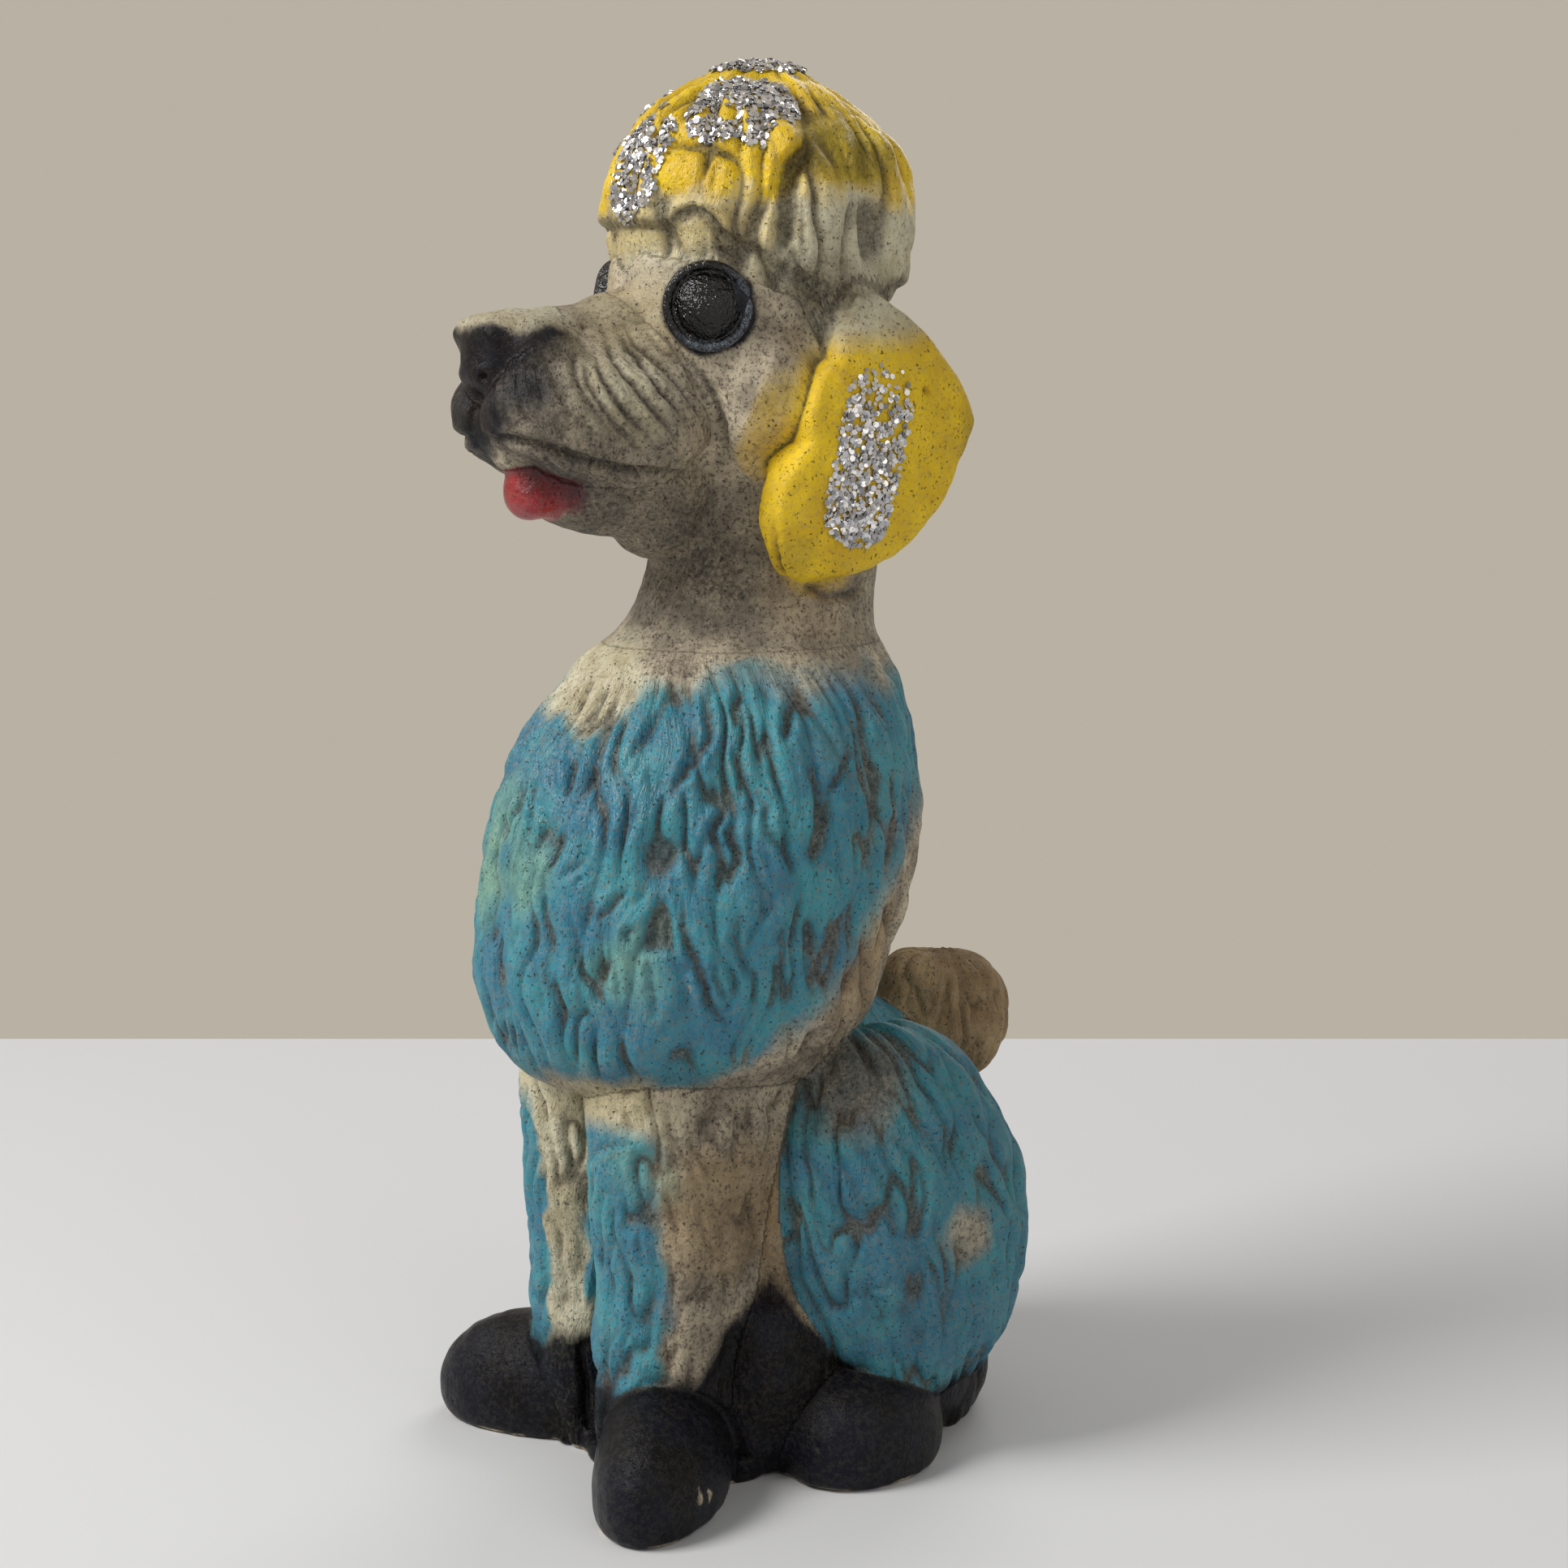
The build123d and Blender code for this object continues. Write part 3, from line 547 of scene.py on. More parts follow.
# Haunches, forelegs and tail. The same wool in shorter cuts: slanting down and back over the
# haunch, down the foreleg, and all round the pompom of the tail.
LIMB_STROKES = (
    (1.3, 1.7, [(530, 400), (540, 480), (590, 560), (620, 620)]),
    (1.3, 1.7, [(600, 420), (590, 500), (640, 580), (660, 640)]),
    (1.3, 1.7, [(650, 410), (640, 470), (700, 540), (720, 600)]),
    (1.2, 1.6, [(520, 620), (530, 680), (560, 770)]),
    (0.9, 1.6, [(10, -36, 70), (330, 530), (440, 490)]),
    (1.0, 1.7, [(380, 690), (370, 790), (12, -35, 46)]),
    (1.0, 1.6, [(360, 920), (400, 1000), (350, 1070)]),
    (1.0, 1.6, [(440, 900), (430, 1000), (390, 1080)]),
    (1.0, 1.6, [(640, 760), (650, 850), (600, 930)]),
    (0.9, 1.5, [(560, 880), (620, 940), (600, 1000)]),
    (0.9, 1.5, [(730, 520), (770, 580), (760, 680)]),
    (0.9, 1.5, [(460, 660), (450, 760), (480, 860)]),
    (0.8, 1.4, [(390, 390), (400, 430)]),
    (0.8, 1.4, [(450, 390), (470, 450)]),
    (0.9, 1.5, [(11, -35, 68), (13, -35, 55), (12, -34, 43)]),
    (1.1, 1.7, [(1080, 400), (1130, 480), (1200, 560), (1240, 640)]),
    (1.1, 1.7, [(1150, 370), (1220, 470), (1280, 570), (1320, 650)]),
    (1.1, 1.7, [(1230, 370), (1300, 480), (1350, 580)]),
    (1.1, 1.7, [(1320, 350), (1370, 450), (1430, 560)]),
    (1.1, 1.7, [(1010, 440), (1060, 520), (1110, 620), (1160, 720)]),
    (1.1, 1.7, [(950, 480), (1000, 570), (1060, 680), (1120, 800)]),
    (1.0, 1.7, [(900, 520), (940, 600), (1000, 700), (1040, 800)]),
    (1.0, 1.7, [(870, 620), (920, 700), (960, 790)]),
    (0.9, 1.6, [(1000, 930), (1080, 900), (1150, 860)]),
    (1.0, 1.6, [(1000, 980), (1010, 920), (1060, 890)]),
    (1.1, 1.6, [(1400, 640), (1380, 740), (1400, 820)]),
    (1.1, 1.6, [(1450, 660), (1440, 780), (1430, 880)]),
    (1.1, 1.6, [(46, 57, 52), (1470, 800), (1440, 920)]),
    (1.1, 1.6, [(1330, 700), (1310, 780), (1330, 850)]),
    (0.9, 1.6, [(1200, 720), (1190, 800), (1220, 880)]),
    (0.9, 1.6, [(1250, 880), (1260, 960), (1230, 1040)]),
    (0.9, 1.6, [(1340, 900), (1350, 980), (1320, 1060)]),
    (1.0, 1.5, [(1270, 60), (1260, 150), (13, 56, 90)]),
    (1.0, 1.5, [(1330, 40), (1350, 120), (1340, 200)]),
    (1.0, 1.5, [(1190, 50), (1200, 120), (1230, 180)]),
)
both_sides(LIMB_STROKES, LIMB_VIEW, seed=15)

# Wool. Between the deep cuts the wool is combed into narrow wavy locks that fall from the top of
# each form. The locks are rounded, part and meet, and carry finer strands.
# Form: middle, lean back in degrees, radius, width of a lock, depth between locks, squeeze along
WOOL = {
    "torso": ((0, 0, 140), 0, 46, 5.0, 2.3, 0.18),
    "topknot": ((0, 15.5, 285), 0, 31, 6.0, 2.1, 0.30),
    "left_haunch": ((19, 32, 58), 12, 34, 5.0, 2.0, 0.22),
    "right_haunch": ((-19, 32, 58), 12, 34, 5.0, 2.0, 0.22),
    "left_foreleg": ((16.5, -14, 60), 0, 19, 5.0, 1.8, 0.24),
    "right_foreleg": ((-16.5, -14, 60), 0, 19, 5.0, 1.8, 0.24),
    "rump": ((0, 34, 60), 0, 36, 6.0, 0.9, 0.24),
    "tail": ((0, 68, 94), 0, 15, 4.2, 1.3, 0.30),
    "muzzle": ((0, -24, 240), 38, 21, 2.8, 0.8, 0.16),
}
# In widths of a lock or shares of its depth: sway, width and sharpness of the partings, and how
# shallow the shallowest of them is; then height of the rounded locks and of their strands
LOCK_SWAY, PARTING_WIDTH, PARTING_SHARPNESS, SHALLOWEST = 0.36, 0.27, 1.3, 0.35
BODY_HEIGHT, STRAND_HEIGHT = 0.40, 0.26
BUBBLES = 260
BUBBLE_WIDTHS, BUBBLE_SHARES = (0.4, 0.5, 0.65, 0.9), (0.45, 0.3, 0.17, 0.08)
combed = points.copy()            # each point's place in the wool: round its form, and down it
bodies = np.zeros(count)          # how high the rounded locks stand
for form, (middle, lean, radius, lock_width, depth, squeeze) in WOOL.items():
    mine = np.flatnonzero(on(form))
    rel = points[mine] - middle
    turn = math.radians(lean)
    back = rel[:, 1] * math.cos(turn) + rel[:, 2] * math.sin(turn)
    up = rel[:, 2] * math.cos(turn) - rel[:, 1] * math.sin(turn)
    place = np.column_stack((rel[:, 0], back)) * (radius / (np.hypot(rel[:, 0], back) + 1))[:, None]
    round_and_up = np.column_stack((place, up))
    sway = np.column_stack([ripple(round_and_up, 2.6 * lock_width, seed) for seed in (71, 72)])
    combed[mine] = np.column_stack((place + LOCK_SWAY * lock_width * sway, squeeze * up))
    parting = np.abs(ripple(combed[mine], lock_width, 73))
    strength = SHALLOWEST + (1 - SHALLOWEST) * ramp(ripple(points[mine], 2.2 * lock_width, 74), -0.5, 0.5)
    strands = np.abs(ripple(combed[mine], 0.42 * lock_width, 75))
    groove = depth * strength * np.exp(-(parting / PARTING_WIDTH) ** PARTING_SHARPNESS)
    carved[mine] = np.maximum(carved[mine], groove)
    rounded = BODY_HEIGHT * parting + STRAND_HEIGHT * np.minimum(strands, 0.5)
    bodies[mine] = depth * rounded * (0.6 + 0.4 * strength)
fade = melt(on(*WOOL), 1.5) * (1 - on("torso") * (1 - ramp(z, 93, 102) * ramp(z, 188, 176)))
fade *= 1 - on("muzzle") * ramp(np.abs(x), 9, 5) * ramp(z, 243, 250)
carved *= fade + (1 - fade) * (1 - on(*WOOL))
bodies *= fade

# Air bubbles in the slip left small round pits all over the cast
rolls = np.random.default_rng(21)
for _ in range(BUBBLES):
    middle = points[rolls.integers(count)]
    pit_width = rolls.choice(BUBBLE_WIDTHS, p=BUBBLE_SHARES)
    for _, i, away in skin_tree.find_range(middle, 2.2 * pit_width):
        carved[i] = max(carved[i], 1.7 * pit_width * math.exp(-(away / pit_width) ** 3))

lumps = 0.5 * ripple(points, 10, 31) * fade + 0.12 * ripple(points, 3, 33)
points = points + normals * (raised * np.exp(-carved) - carved + lumps + bodies)[:, None]
points = melt(points, 0.3)
points[:, 2] = np.maximum(points[:, 2], 0)
soft = melt(points, 3.5)
normals = surface_normals(points)
# How far each point lies in a hollow of the skin; it sets the painted shade in the creases
hollow = np.clip(((soft - points) * normals).sum(axis=1) / 1.2, -1, 1)

# Paint. The bare cast was sprayed by hand with thin lacquers: blue over the coat and limbs,
# yellow over topknot and ears, black over the feet, nose and eyes, red on the tongue. Spray
# misses the bottoms of the cuts, where dirt has gathered since, and painted shade darkens the cuts, creases
# and undersides.
# Puffs of spray and of painted shade: middle, radius and strength. They go on both sides, except the green
# ones named once
PUFFS = {
    "bare collar": (((7, -29, 181), 17, 1),),
    "bare thigh": (((42, 12, 94), 22, 0.7), ((52, 40, 56), 11, 0.8)),
    "green": (((9, -49, 139), 14, 0.75), ((33, -37, 122), 15, 0.5), ((38, 8, 168), 12, 0.35),
              ((28, -31, 75), 12, 0.35)),
    "green once": (((-5, -46, 155), 12, 0.5), ((-8, -48, 130), 12, 0.6)),
    # Painted shade on the yellow: the back of the topknot and the back and lower edges of the ears
    "yellow_in_shade": (((29, 22, 296), 19, 0.62), ((36, 54, 232), 13, 0.7), ((30, 48, 208), 12, 0.6),
              ((33, 6, 208), 9, 0.3), ((28, 8, 290), 8, 0.5)),
    # The first black puff is on the nose; the others, below it over the lips, are painted shadow under the
    # nose
    "black": (((7, -55, 252), 6, 0.9), ((11, -48, 244), 15, 0.72), ((4, -54, 240), 12, 0.7),
              ((9, -42, 230), 15, 0.62)),
    "chips": (((24, -40, 24), 4, 1), ((46, -26, 8), 5, 1), ((40, -27, 118), 3.5, 1), ((44, 14, 5), 6, 1)),
    "lip red": (((9, -41, 222), 8.5, 1),),
    "cream": (((6, -29, 179), 20, 0.95), ((20, -33, 88), 22, 0.75), ((12, -22, 262), 18, 0.5)),
    "cream pads": (((20, -32, 243), 16, 0.6),),
    "tan": (((8, -20, 258), 16, 0.7), ((34, -12, 66), 28, 0.55), ((26, 12, 200), 18, 0.35),
            ((40, 18, 118), 22, 0.5), ((26, 6, 250), 14, 0.3)),
    # Painted shade under the topknot, jaw and nose, on the haunch top, under the tail and in the leg fold,
    # with brown smudges round the mouth and neck
    "dirt_and_shade": (((33, 14, 266), 15, 0.6), ((12, -6, 204), 19, 0.9), ((12, -48, 238), 17, 0.5),
              ((16, -36, 230), 13, 0.5), ((10, -50, 236), 12, 0.4), ((42, 12, 94), 20, 0.7),
              ((12, 60, 80), 16, 0.6), ((26, 4, 50), 18, 0.7), ((22, -42, 232), 12, 0.35),
              ((15, -46, 231), 8, 0.6), ((20, -34, 228), 8, 0.6), ((21, -22, 226), 8, 0.5),
              ((3, -58, 238), 9, 0.55), ((14, -2, 214), 12, 0.4)),
    # Painted shade under the lower edge of the ear
    "shade under the ear": (((30, 4, 198), 7, 0.5),),
    "gloss": (((16, -38, 162), 36, 0.95), ((14, -16, 268), 16, 0.6)),
}
# Soft edges of the paint: where it starts and where it is full, in mm unless the comment says other
EDGES = {
    "collar": (187, 175), "flank": (80, 120),        # flank in degrees round the coat
    "leg front": (-3, -11), "leg top": (88, 76), "pale strip": (6, 3), "strip front": (-22, -28),
    "seat foot": (30, 62), "round the tail": (10, 19), "seat front": (22, 34),
    "ear top": (259, 246), "ear side": (18, 25),
    "mist top": (254, 236), "mist foot": (188, 204), "mist side": (12, 24),
    "topknot foot": (278, 289), "brow": (266, 276), "brow front": (14, -2),
    "eye ring": (11.4, 9.6), "nose foot": (259.5, 252),
    "nose top": (0.25, 0.75), "tongue": (0.15, 0.6),  # both are shares
    "worn rim": (1.6, 0.5), "under the lip": (230, 227), "ear top highlight": (244, 254),
    "hem crease": (8, 2), "under the topknot": (272, 263), "outside of the leg": (26, 34),
    "brim crease": (2.4, 0.4), "behind the brow": (0, 18), "crevice": (0.45, 1.8),
}
# Lower edge of the blue coat, by heading in degrees from the chest, and how soft it is there
HEM_HEADINGS = (0, 50, 68, 93, 105, 120, 130, 150, 180)
HEM_HEIGHTS = (97, 98, 102, 110, 118, 130, 142, 150, 152)
HEM_SOFTNESS = ((60, 110), (5, 13))
# Upper edge of the black on the feet, by depth
FOOT_DEPTHS, FOOT_HEIGHTS = (-45, -20, 0, 12, 30, 60), (24, 27, 46, 30, 20, 15)
STRIP_X = 8                 # the pale strip down the inside of the right foreleg
TAIL_ROOT_DEPTH = 66
EYE_MIDDLE = np.array((22, -10.4, 260.6))
SPRAY_REACH = 1.6           # how far a coat of spray runs over onto the next form


def spot(middle, radius, strength, twin=True):
    """A puff of spray: full at its middle, gone at its radius, on both sides of the figure."""
    place_x = side_x if twin else x
    away = np.sqrt((place_x - middle[0]) ** 2 + (y - middle[1]) ** 2 + (z - middle[2]) ** 2)
    return strength * ramp(away + radius * (0.16 * wave + 0.12 * fine_wave), radius, 0.25 * radius)


def cover(*layers):
    """Several layers of one paint, one over the other."""
    bare = np.ones(count)
    for layer in layers:
        bare *= 1 - np.clip(layer, 0, 1)
    return 1 - bare


def puffs(name, twin=True):
    """All puffs of a name, one over the other."""
    return cover(*(spot(*row, twin) for row in PUFFS[name]))


def past(value, edge_name):
    """How far a value is past a soft edge: 0 before it, 1 beyond it."""
    return ramp(value, *EDGES[edge_name])


x, y, z = points.T
side_x = np.abs(x)
heading = np.degrees(np.arctan2(side_x, -y))
wave = ripple(points, 22, 41)
fine_wave = ripple(points, 7, 42)
# Bottoms of the cuts and hollows of the skin: less paint there, and dirt with painted shade
deep = np.maximum(past(carved, "crevice"), np.clip(1.3 * hollow - 0.3, 0, 1))

coat = melt(on("torso"), SPRAY_REACH)
legs = melt(on("left_foreleg", "right_foreleg"), SPRAY_REACH)
haunches = melt(on("left_haunch", "right_haunch"), SPRAY_REACH)
hem = np.interp(heading, HEM_HEADINGS, HEM_HEIGHTS)
soft_hem = np.interp(heading, *HEM_SOFTNESS)
blue_coat = coat * ramp(z + 4 * wave + 2 * fine_wave, hem - soft_hem, hem + soft_hem)
blue_coat *= past(z + 3 * wave + 2 * fine_wave, "collar")
blue_coat *= (1 - puffs("bare collar")) * (1 - 0.25 * past(heading, "flank"))
front_leg = past(y + 0.7 * side_x - 2.5 * wave - 1.5 * fine_wave, "leg front") * past(z + 3 * wave, "leg top")
pale_strip = past(np.abs(x + STRIP_X) + 1.5 * fine_wave, "pale strip") * past(y, "strip front")
blue_legs = legs * front_leg * (1 - 0.85 * pale_strip)
blue_haunch = haunches * (1 - puffs("bare thigh"))
blue_seat = melt(on("rump"), SPRAY_REACH) * past(z + 4 * wave, "seat foot")
blue_seat *= past(np.hypot(x, y - TAIL_ROOT_DEPTH), "round the tail") * past(y, "seat front")
blue = np.clip(blue_coat + blue_legs + 0.95 * blue_haunch + 0.85 * blue_seat, 0, 1) * (1 - 0.5 * deep)
green = cover(puffs("green"), puffs("green once", twin=False))
green *= np.clip(coat + legs, 0, 1) * (1 - 0.5 * deep)

ears = melt(on("left_ear", "right_ear"), 1.2)
beside_ear = melt(on("left_ear", "right_ear"), 5.5)
yellow_ears = ears * past(z - 0.2 * (y - 20) + 3 * wave, "ear top") * past(side_x, "ear side")
mist = beside_ear * (0.9 + 0.3 * wave) * past(z, "mist top")
mist *= past(z, "mist foot") * past(side_x, "mist side")
yellow_ears = np.maximum(yellow_ears, np.clip(1.5 * mist, 0, 0.7) * (1 - ears))
topknot = melt(on("topknot"), 1.2)
yellow_topknot = topknot * past(z + 3.5 * wave + 3 * fine_wave - 0.05 * (y - 15), "topknot foot")
yellow_topknot = np.maximum(yellow_topknot, 0.3 * topknot * past(z, "brow") * past(y, "brow front"))
yellow = np.clip(yellow_ears + yellow_topknot, 0, 1) * (1 - 0.35 * deep)
# Painted shade on the yellow: the puffs on its far side, and the cuts in it
yellow_in_shade = cover(puffs("yellow_in_shade"), 0.45 * ramp(deep, 0.3, 1))
yellow_in_shade *= np.clip(yellow * 1.2, 0, 1)

feet = melt(on("left_forepaw", "right_forepaw", "left_hind_foot", "right_hind_foot"), 1.2)
low = np.interp(y, FOOT_DEPTHS, FOOT_HEIGHTS) + 3 * wave + 1.5 * fine_wave
black = np.maximum(feet, ramp(z, low + 5, low - 4) * (1 - coat))
eye_away = np.sqrt(((np.column_stack((side_x, y, z)) - EYE_MIDDLE) ** 2).sum(axis=1))
nose = melt(on("nose"), 1.0)
nose_top = past(normals[:, 2] + 0.15 * fine_wave, "nose top")
near_nose = melt(on("nose"), 3.4)
# Black enamel on the feet, eye rings and nose, with painted shadow under the nose
black = cover(black, 0.8 * past(eye_away + 0.7 * fine_wave, "eye ring"), puffs("black"),
              0.97 * near_nose * past(z + 1.5 * fine_wave + 2 * nose_top, "nose foot"))
worn_rim = past(z, "worn rim") * ramp(ripple(points, 5, 43), -0.1, 0.4)
chips = cover(puffs("chips") * ramp(ripple(points, 2, 44), 0.1, 0.4), worn_rim)
black *= 1 - chips
blue *= 1 - chips
red = cover(past(melt(on("tongue"), 1.3) + 0.12 * fine_wave, "tongue"),
            puffs("lip red") * past(z, "under the lip"))

# The cream on the top of each ear is a painted highlight
cream = cover(puffs("cream"), puffs("cream pads") * (1 - deep), pale_strip * legs * 0.6, topknot * 0.75,
              ears * past(z, "ear top highlight") * 0.85, 0.55 * nose * nose_top)
tan = cover(puffs("tan"), melt(on("tail"), SPRAY_REACH) * 0.7, on("rump") * 0.5)
# Painted shade: muzzle, neck and haunches darker all over, and darker under the topknot, its brim and the
# jaw, along the hem crease and on the outside of the legs; in the cuts, dirt and painted shade together
shaded = melt(0.3 * on("muzzle") + 0.3 * on("neck") + 0.22 * on("left_haunch", "right_haunch"), 3.0)
dirt_and_shade = cover(shaded, 0.9 * deep, 0.85 * deep * on("muzzle"), puffs("dirt_and_shade"), puffs("shade under the ear") * ears,
              melt(on("lower_jaw"), 2.0) * 0.8, 0.45 * past(np.abs(z - 94), "hem crease") * coat,
              topknot * past(z, "under the topknot") * 0.45, nose * 0.35,
              0.35 * legs * past(side_x, "outside of the leg"),
              0.8 * topknot * past(np.abs(z - brim + 0.8), "brim crease"),
              0.5 * under_brim * past(y, "behind the brow"))
gloss = cover(puffs("gloss"), 0.5 * blue, 0.55 * yellow_topknot, 0.4 * yellow_ears, 0.75 * black,
              0.95 * red, 0.6 * cream * topknot)
gloss *= 1 - 0.55 * deep * (1 - black)
wool_amount = melt(on(*WOOL), 0.8)

# Finish of the casting. Air-dried plaster with sprayed lacquer. Bare plaster is matt, warm grey
# and stippled with brown dirt. Lacquer is thin and shows the stipple through; thick coats shine.
PLASTER_PALE, PLASTER_GREY, PLASTER_DIRT = "#CDBFA3", "#9C907C", "#40342A"
# Brown and grey of the dirt in the cuts and of the painted shade, and brown of the specks
DIRT_AND_SHADE_BROWN, DIRT_AND_SHADE_GREY, SPECK_BROWN = "#2C2018", "#1E2022", "#241D19"
# Each coat of paint, and the painted shade on the yellow: its share on the skin, its two tints, and how much
# the stipple shows through
COATS = (
    ("tan", "#B09568", "#8A6D45", 0.8),
    ("cream", "#DAD2B2", "#BFB28C", 0.6),
    ("blue", "#3A929E", "#2D7992", 0.5),
    ("green", "#86AF98", "#64998F", 0.5),
    ("yellow", "#F6CE00", "#DDB400", 0.35),
    ("yellow_in_shade", "#8C7B10", "#5A5520", 0.3),
    ("red", "#86101C", "#A31F27", 0.3),
    ("black", "#090A0E", "#13151F", 0.1),
)
# Patterns in the plaster: size of a hump in mm, detail and roughness
PATTERNS = {"stipple": (1.2, 5, 0.8), "clouds": (9, 3, 0.6), "tint clouds": (14, 3, 0.6),
            "specks": (0.8, 2, 0.5), "fraying": (1.1, 4, 0.8), "grain": (1.2, 4, 0.7)}
# The part of a pattern's range that is stretched over the whole of it
STRETCHES = {"stipple": (0.49, 0.63), "clouds": (0.38, 0.62), "tint clouds": (0.4, 0.6),
             "specks": (0.64, 0.72)}
MULTIPLY, ADD = {"operation": "MULTIPLY"}, {"operation": "ADD"}
COLOURS = {"data_type": "RGBA", "output": 2}



def add_patterns(tree, rows):
    """Cloudy patterns on the object's own coordinates, named and sized as in a table."""
    own_place = add_node(tree, "TexCoord", output="Object")
    made = {}
    for name, (size, detail, roughness) in rows.items():
        made[name] = add_node(tree, "TexNoise", {"Vector": own_place, "Scale": 1 / (size * MM),
                                                 "Detail": detail, "Roughness": roughness})
    return made


# Air-dried plaster under sprayed lacquer: a matt, stippled ground with thin colour that shines
chalkware, tree, shader = new_material("sprayed_chalkware")
pattern = add_patterns(tree, PATTERNS)
for name, (low, high) in STRETCHES.items():
    pattern[name] = add_node(tree, "MapRange", {"Value": pattern[name], "From Min": low, "From Max": high})
frayed = add_node(tree, "Math", {0: pattern["fraying"], 1: -0.5}, **ADD)
frayed = add_node(tree, "Math", {0: frayed, 1: 0.6}, **MULTIPLY)
plasters = {0: pattern["clouds"], 6: linear(PLASTER_PALE), 7: linear(PLASTER_GREY)}
colour = add_node(tree, "Mix", plasters, **COLOURS)
stippled = add_node(tree, "Math", {0: pattern["stipple"], 1: 0.82}, **MULTIPLY)
colour = add_node(tree, "Mix", {0: stippled, 6: colour, 7: linear(PLASTER_DIRT)}, **COLOURS)
for share_name, tint, other_tint, show_through in COATS:
    share = add_node(tree, "Attribute", output="Fac", attribute_name=share_name)
    tints = {0: pattern["tint clouds"], 6: linear(tint), 7: linear(other_tint)}
    tinted = add_node(tree, "Mix", tints, **COLOURS)
    broken = add_node(tree, "Math", {0: share, 1: frayed}, **ADD)
    broken = add_node(tree, "MapRange", {"Value": broken, "From Min": 0.12, "From Max": 0.75})
    whole = add_node(tree, "MapRange", {"Value": pattern["stipple"], "To Min": 1, "To Max": 1 - show_through})
    sprayed = add_node(tree, "MapRange", {"Value": share, "From Max": 0.08})
    covered = add_node(tree, "Math", {0: broken, 1: whole}, **MULTIPLY)
    covered = add_node(tree, "Math", {0: covered, 1: sprayed}, **MULTIPLY)
    colour = add_node(tree, "Mix", {0: covered, 6: colour, 7: tinted}, **COLOURS)
# Dirt in the cuts, and painted shade in creases, undersides and on the shaded forms, in brown and grey,
# broken up in patches
dirt_and_shade_share = add_node(tree, "Attribute", output="Fac", attribute_name="dirt_and_shade")
patchiness = add_node(tree, "MapRange", {"Value": pattern["fraying"], "From Min": 0.3, "From Max": 0.6,
                                    "To Min": 0.45, "To Max": 1.0})
dirt_and_shade_amount = add_node(tree, "Math", {0: dirt_and_shade_share, 1: patchiness}, **MULTIPLY)
dirt_and_shade_amount = add_node(tree, "Math", {0: dirt_and_shade_amount, 1: 0.88}, **MULTIPLY)
dirt_and_shade_tints = {0: pattern["clouds"], 6: linear(DIRT_AND_SHADE_BROWN), 7: linear(DIRT_AND_SHADE_GREY)}
dirt_and_shade_tint = add_node(tree, "Mix", dirt_and_shade_tints, **COLOURS)
colour = add_node(tree, "Mix", {0: dirt_and_shade_amount, 6: colour, 7: dirt_and_shade_tint}, **COLOURS)
speckled = add_node(tree, "Math", {0: pattern["specks"], 1: 0.75}, **MULTIPLY)
colour = add_node(tree, "Mix", {0: speckled, 6: colour, 7: linear(SPECK_BROWN)}, **COLOURS)
tree.links.new(colour, shader.inputs["Base Color"])
gloss_share = add_node(tree, "Attribute", output="Fac", attribute_name="gloss")
shine = add_node(tree, "Math", {0: frayed, 1: 0.5}, **MULTIPLY)
shine = add_node(tree, "Math", {0: gloss_share, 1: shine}, **ADD)
shine = add_node(tree, "MapRange", {"Value": shine, "To Min": 0.86, "To Max": 0.13})
tree.links.new(shine, shader.inputs["Roughness"])
black_share = add_node(tree, "Attribute", output="Fac", attribute_name="black")
dulled = add_node(tree, "MapRange", {"Value": black_share, "To Min": 0.5, "To Max": 0.15})
tree.links.new(dulled, shader.inputs["Specular IOR Level"])
shader.inputs["IOR"].default_value = 1.48
along_wool = add_node(tree, "Attribute", output="Vector", attribute_name="combed")
strands = add_node(tree, "TexNoise", {"Vector": along_wool, "Scale": 0.9, "Detail": 3, "Roughness": 0.65})
wool_share = add_node(tree, "Attribute", output="Fac", attribute_name="wool_amount")
strands = add_node(tree, "Math", {0: strands, 1: wool_share}, **MULTIPLY)
relief = add_node(tree, "Math", {0: strands, 1: 1.6}, **MULTIPLY)
for name, height in (("grain", 0.8), ("specks", -0.8)):
    fine_relief = add_node(tree, "Math", {0: pattern[name], 1: height}, **MULTIPLY)
    relief = add_node(tree, "Math", {0: relief, 1: fine_relief}, **ADD)
bump = add_node(tree, "Bump", {"Height": relief, "Distance": 0.6 * MM, "Strength": 0.8})
tree.links.new(bump, shader.inputs["Normal"])

# Parting the casting into its forms again. The skin is divided along the creases, each form
# keeps the shading of the whole, and its open side is closed inside the figure.
PIECES = {
    "topknot_wool": ("topknot", "yellow_paint"), "face": ("head", "bare_plaster"),
    "snout": ("muzzle", "bare_plaster"), "chin": ("lower_jaw", "bare_plaster"),
    "throat": ("neck", "bare_plaster"), "nose_leather": ("nose", "black_enamel"),
    "tongue_tip": ("tongue", "red_enamel"), "left_ear_flap": ("left_ear", "yellow_paint"),
    "right_ear_flap": ("right_ear", "yellow_paint"), "wool_coat": ("torso", "blue_paint"),
    "seat": ("rump", "blue_paint"), "left_thigh": ("left_haunch", "blue_paint"),
    "right_thigh": ("right_haunch", "blue_paint"), "left_front_leg": ("left_foreleg", "blue_paint"),
    "right_front_leg": ("right_foreleg", "blue_paint"), "left_front_paw": ("left_forepaw", "black_enamel"),
    "right_front_paw": ("right_forepaw", "black_enamel"), "left_back_paw": ("left_hind_foot", "black_enamel"),
    "right_back_paw": ("right_hind_foot", "black_enamel"), "pompom_tail": ("tail", "bare_plaster"),
}
SMALL_ISLAND = round(160 / SKIN_STEP ** 2)
SKIRT = 1.5                 # depth of the skirt round a piece's open side, in mm
MOST_ROUNDS = 200           # rounds for handing lost scraps on, more than any skin needs


